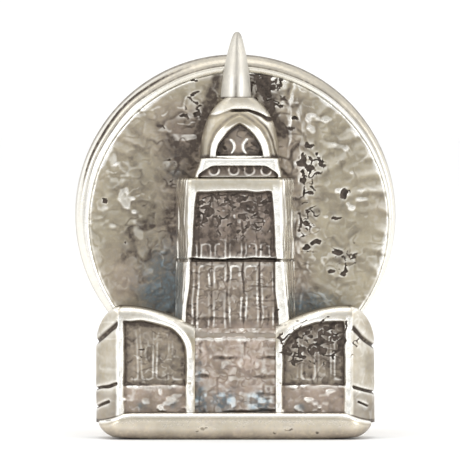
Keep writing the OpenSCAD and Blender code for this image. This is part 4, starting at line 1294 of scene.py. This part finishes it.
def make_spring():
    """A round wire coil inside the cup, at one fixed length."""
    wire_r, turns, steps, sides = 0.11, 2.5, 60, 12
    coil_r = (coil_high[0] - coil_low[0]) / 2 - wire_r
    along = np.linspace(0, 1, steps)[:, None]
    round_wire = np.linspace(0, TAU, sides, endpoint=False)[None, :]
    turn = TAU * turns * along
    r = coil_r + wire_r * np.cos(round_wire)
    y = coil_low[1] + wire_r + (coil_high[1] - coil_low[1] - 2 * wire_r) * along + wire_r * np.sin(round_wire)
    points = np.stack([r * np.cos(turn), y, post_z - r * np.sin(turn)], -1)
    faces = grid_faces(sides, steps, wrap=True)
    faces += [list(range(0, sides * steps, steps)), list(range(steps - 1, sides * steps, steps))[::-1]]
    obj = new_mesh("coil_spring", points.transpose(1, 0, 2).reshape(-1, 3), faces)
    face_outwards(obj)
    stands_for(obj, "clutch_spring", "clutch", hard_metal)
    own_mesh(obj)


make_spring()


# ---- Floor, light and camera ----

def make_floor():
    """A pale floor, far wider than the view."""
    reach = 4000
    mesh = bpy.data.meshes.new("pale_floor")
    corners = [(-reach, -reach, 0), (reach, -reach, 0), (reach, reach, 0), (-reach, reach, 0)]
    mesh.from_pydata((np.array(corners) * MM).tolist(), [], [(0, 1, 2, 3)])
    floor = bpy.data.objects.new("pale_floor", mesh)
    bpy.context.scene.collection.objects.link(floor)
    material = bpy.data.materials.new("pale_floor")
    material.use_nodes = True
    shader = material.node_tree.nodes["Principled BSDF"]
    shader.inputs["Base Color"].default_value = (0.93, 0.93, 0.93, 1)
    shader.inputs["Roughness"].default_value = 0.7
    mesh.materials.append(material)


def make_world():
    """A white light tent with a softer grey round the front, which flat metal mirrors."""
    world = bpy.data.worlds.new("light_tent")
    world.use_nodes = True
    tree = world.node_tree
    background = tree.nodes["Background"]
    way = tree.nodes.new("ShaderNodeTexCoord").outputs["Generated"]
    facing = tree.nodes.new("ShaderNodeVectorMath")
    facing.operation = "DOT_PRODUCT"
    facing.inputs[1].default_value = (0.05, -0.999, 0.0)
    tree.links.new(way, facing.inputs[0])
    fade = tree.nodes.new("ShaderNodeMapRange")
    fade.interpolation_type = "SMOOTHSTEP"
    for key, value in zip(MAP_ENDS, (0.5, 0.97, 1.1, 0.78)):
        fade.inputs[key].default_value = value
    tree.links.new(facing.outputs["Value"], fade.inputs["Value"])
    tree.links.new(fade.outputs["Result"], background.inputs["Strength"])
    background.inputs["Color"].default_value = (1.0, 1.0, 1.0, 1)
    bpy.context.scene.world = world


LIGHT_AIM = Vector((0, 0, 0.008))   # the middle of the relief, in metres


def soft_light(name, place, size, power):
    """A square area light, in metres, aimed at the middle of the relief."""
    lamp = bpy.data.lights.new(name, "AREA")
    lamp.size = size
    lamp.energy = power
    obj = bpy.data.objects.new(name, lamp)
    obj.location = place
    obj.rotation_euler = (LIGHT_AIM - Vector(place)).to_track_quat("-Z", "Y").to_euler()
    bpy.context.scene.collection.objects.link(obj)


def make_camera():
    """Nearly straight on, from a hand's breadth away with a long lens."""
    scene = bpy.context.scene
    distance, rise = 0.25, math.radians(1.0)
    view_w = 18.11 * MM
    aim = Vector((-0.209 * MM, front_y * MM * 0.3, 8.22 * MM))
    data = bpy.data.cameras.new("camera")
    data.sensor_width = 36.0
    data.lens = data.sensor_width * distance / view_w
    data.clip_start = 0.01
    camera = bpy.data.objects.new("camera", data)
    camera.location = aim + distance * Vector((0, -math.cos(rise), math.sin(rise)))
    camera.rotation_euler = (aim - camera.location).to_track_quat("-Z", "Y").to_euler()
    scene.collection.objects.link(camera)
    scene.camera = camera


make_floor()
make_world()
soft_light("left_softbox", (-0.35, -0.22, 0.22), 0.28, 0.36)
soft_light("right_softbox", (0.36, -0.18, 0.16), 0.26, 0.28)
soft_light("top_softbox", (0.0, -0.10, 0.42), 0.30, 0.34)
make_camera()
bpy.context.scene.view_settings.view_transform = "Standard"
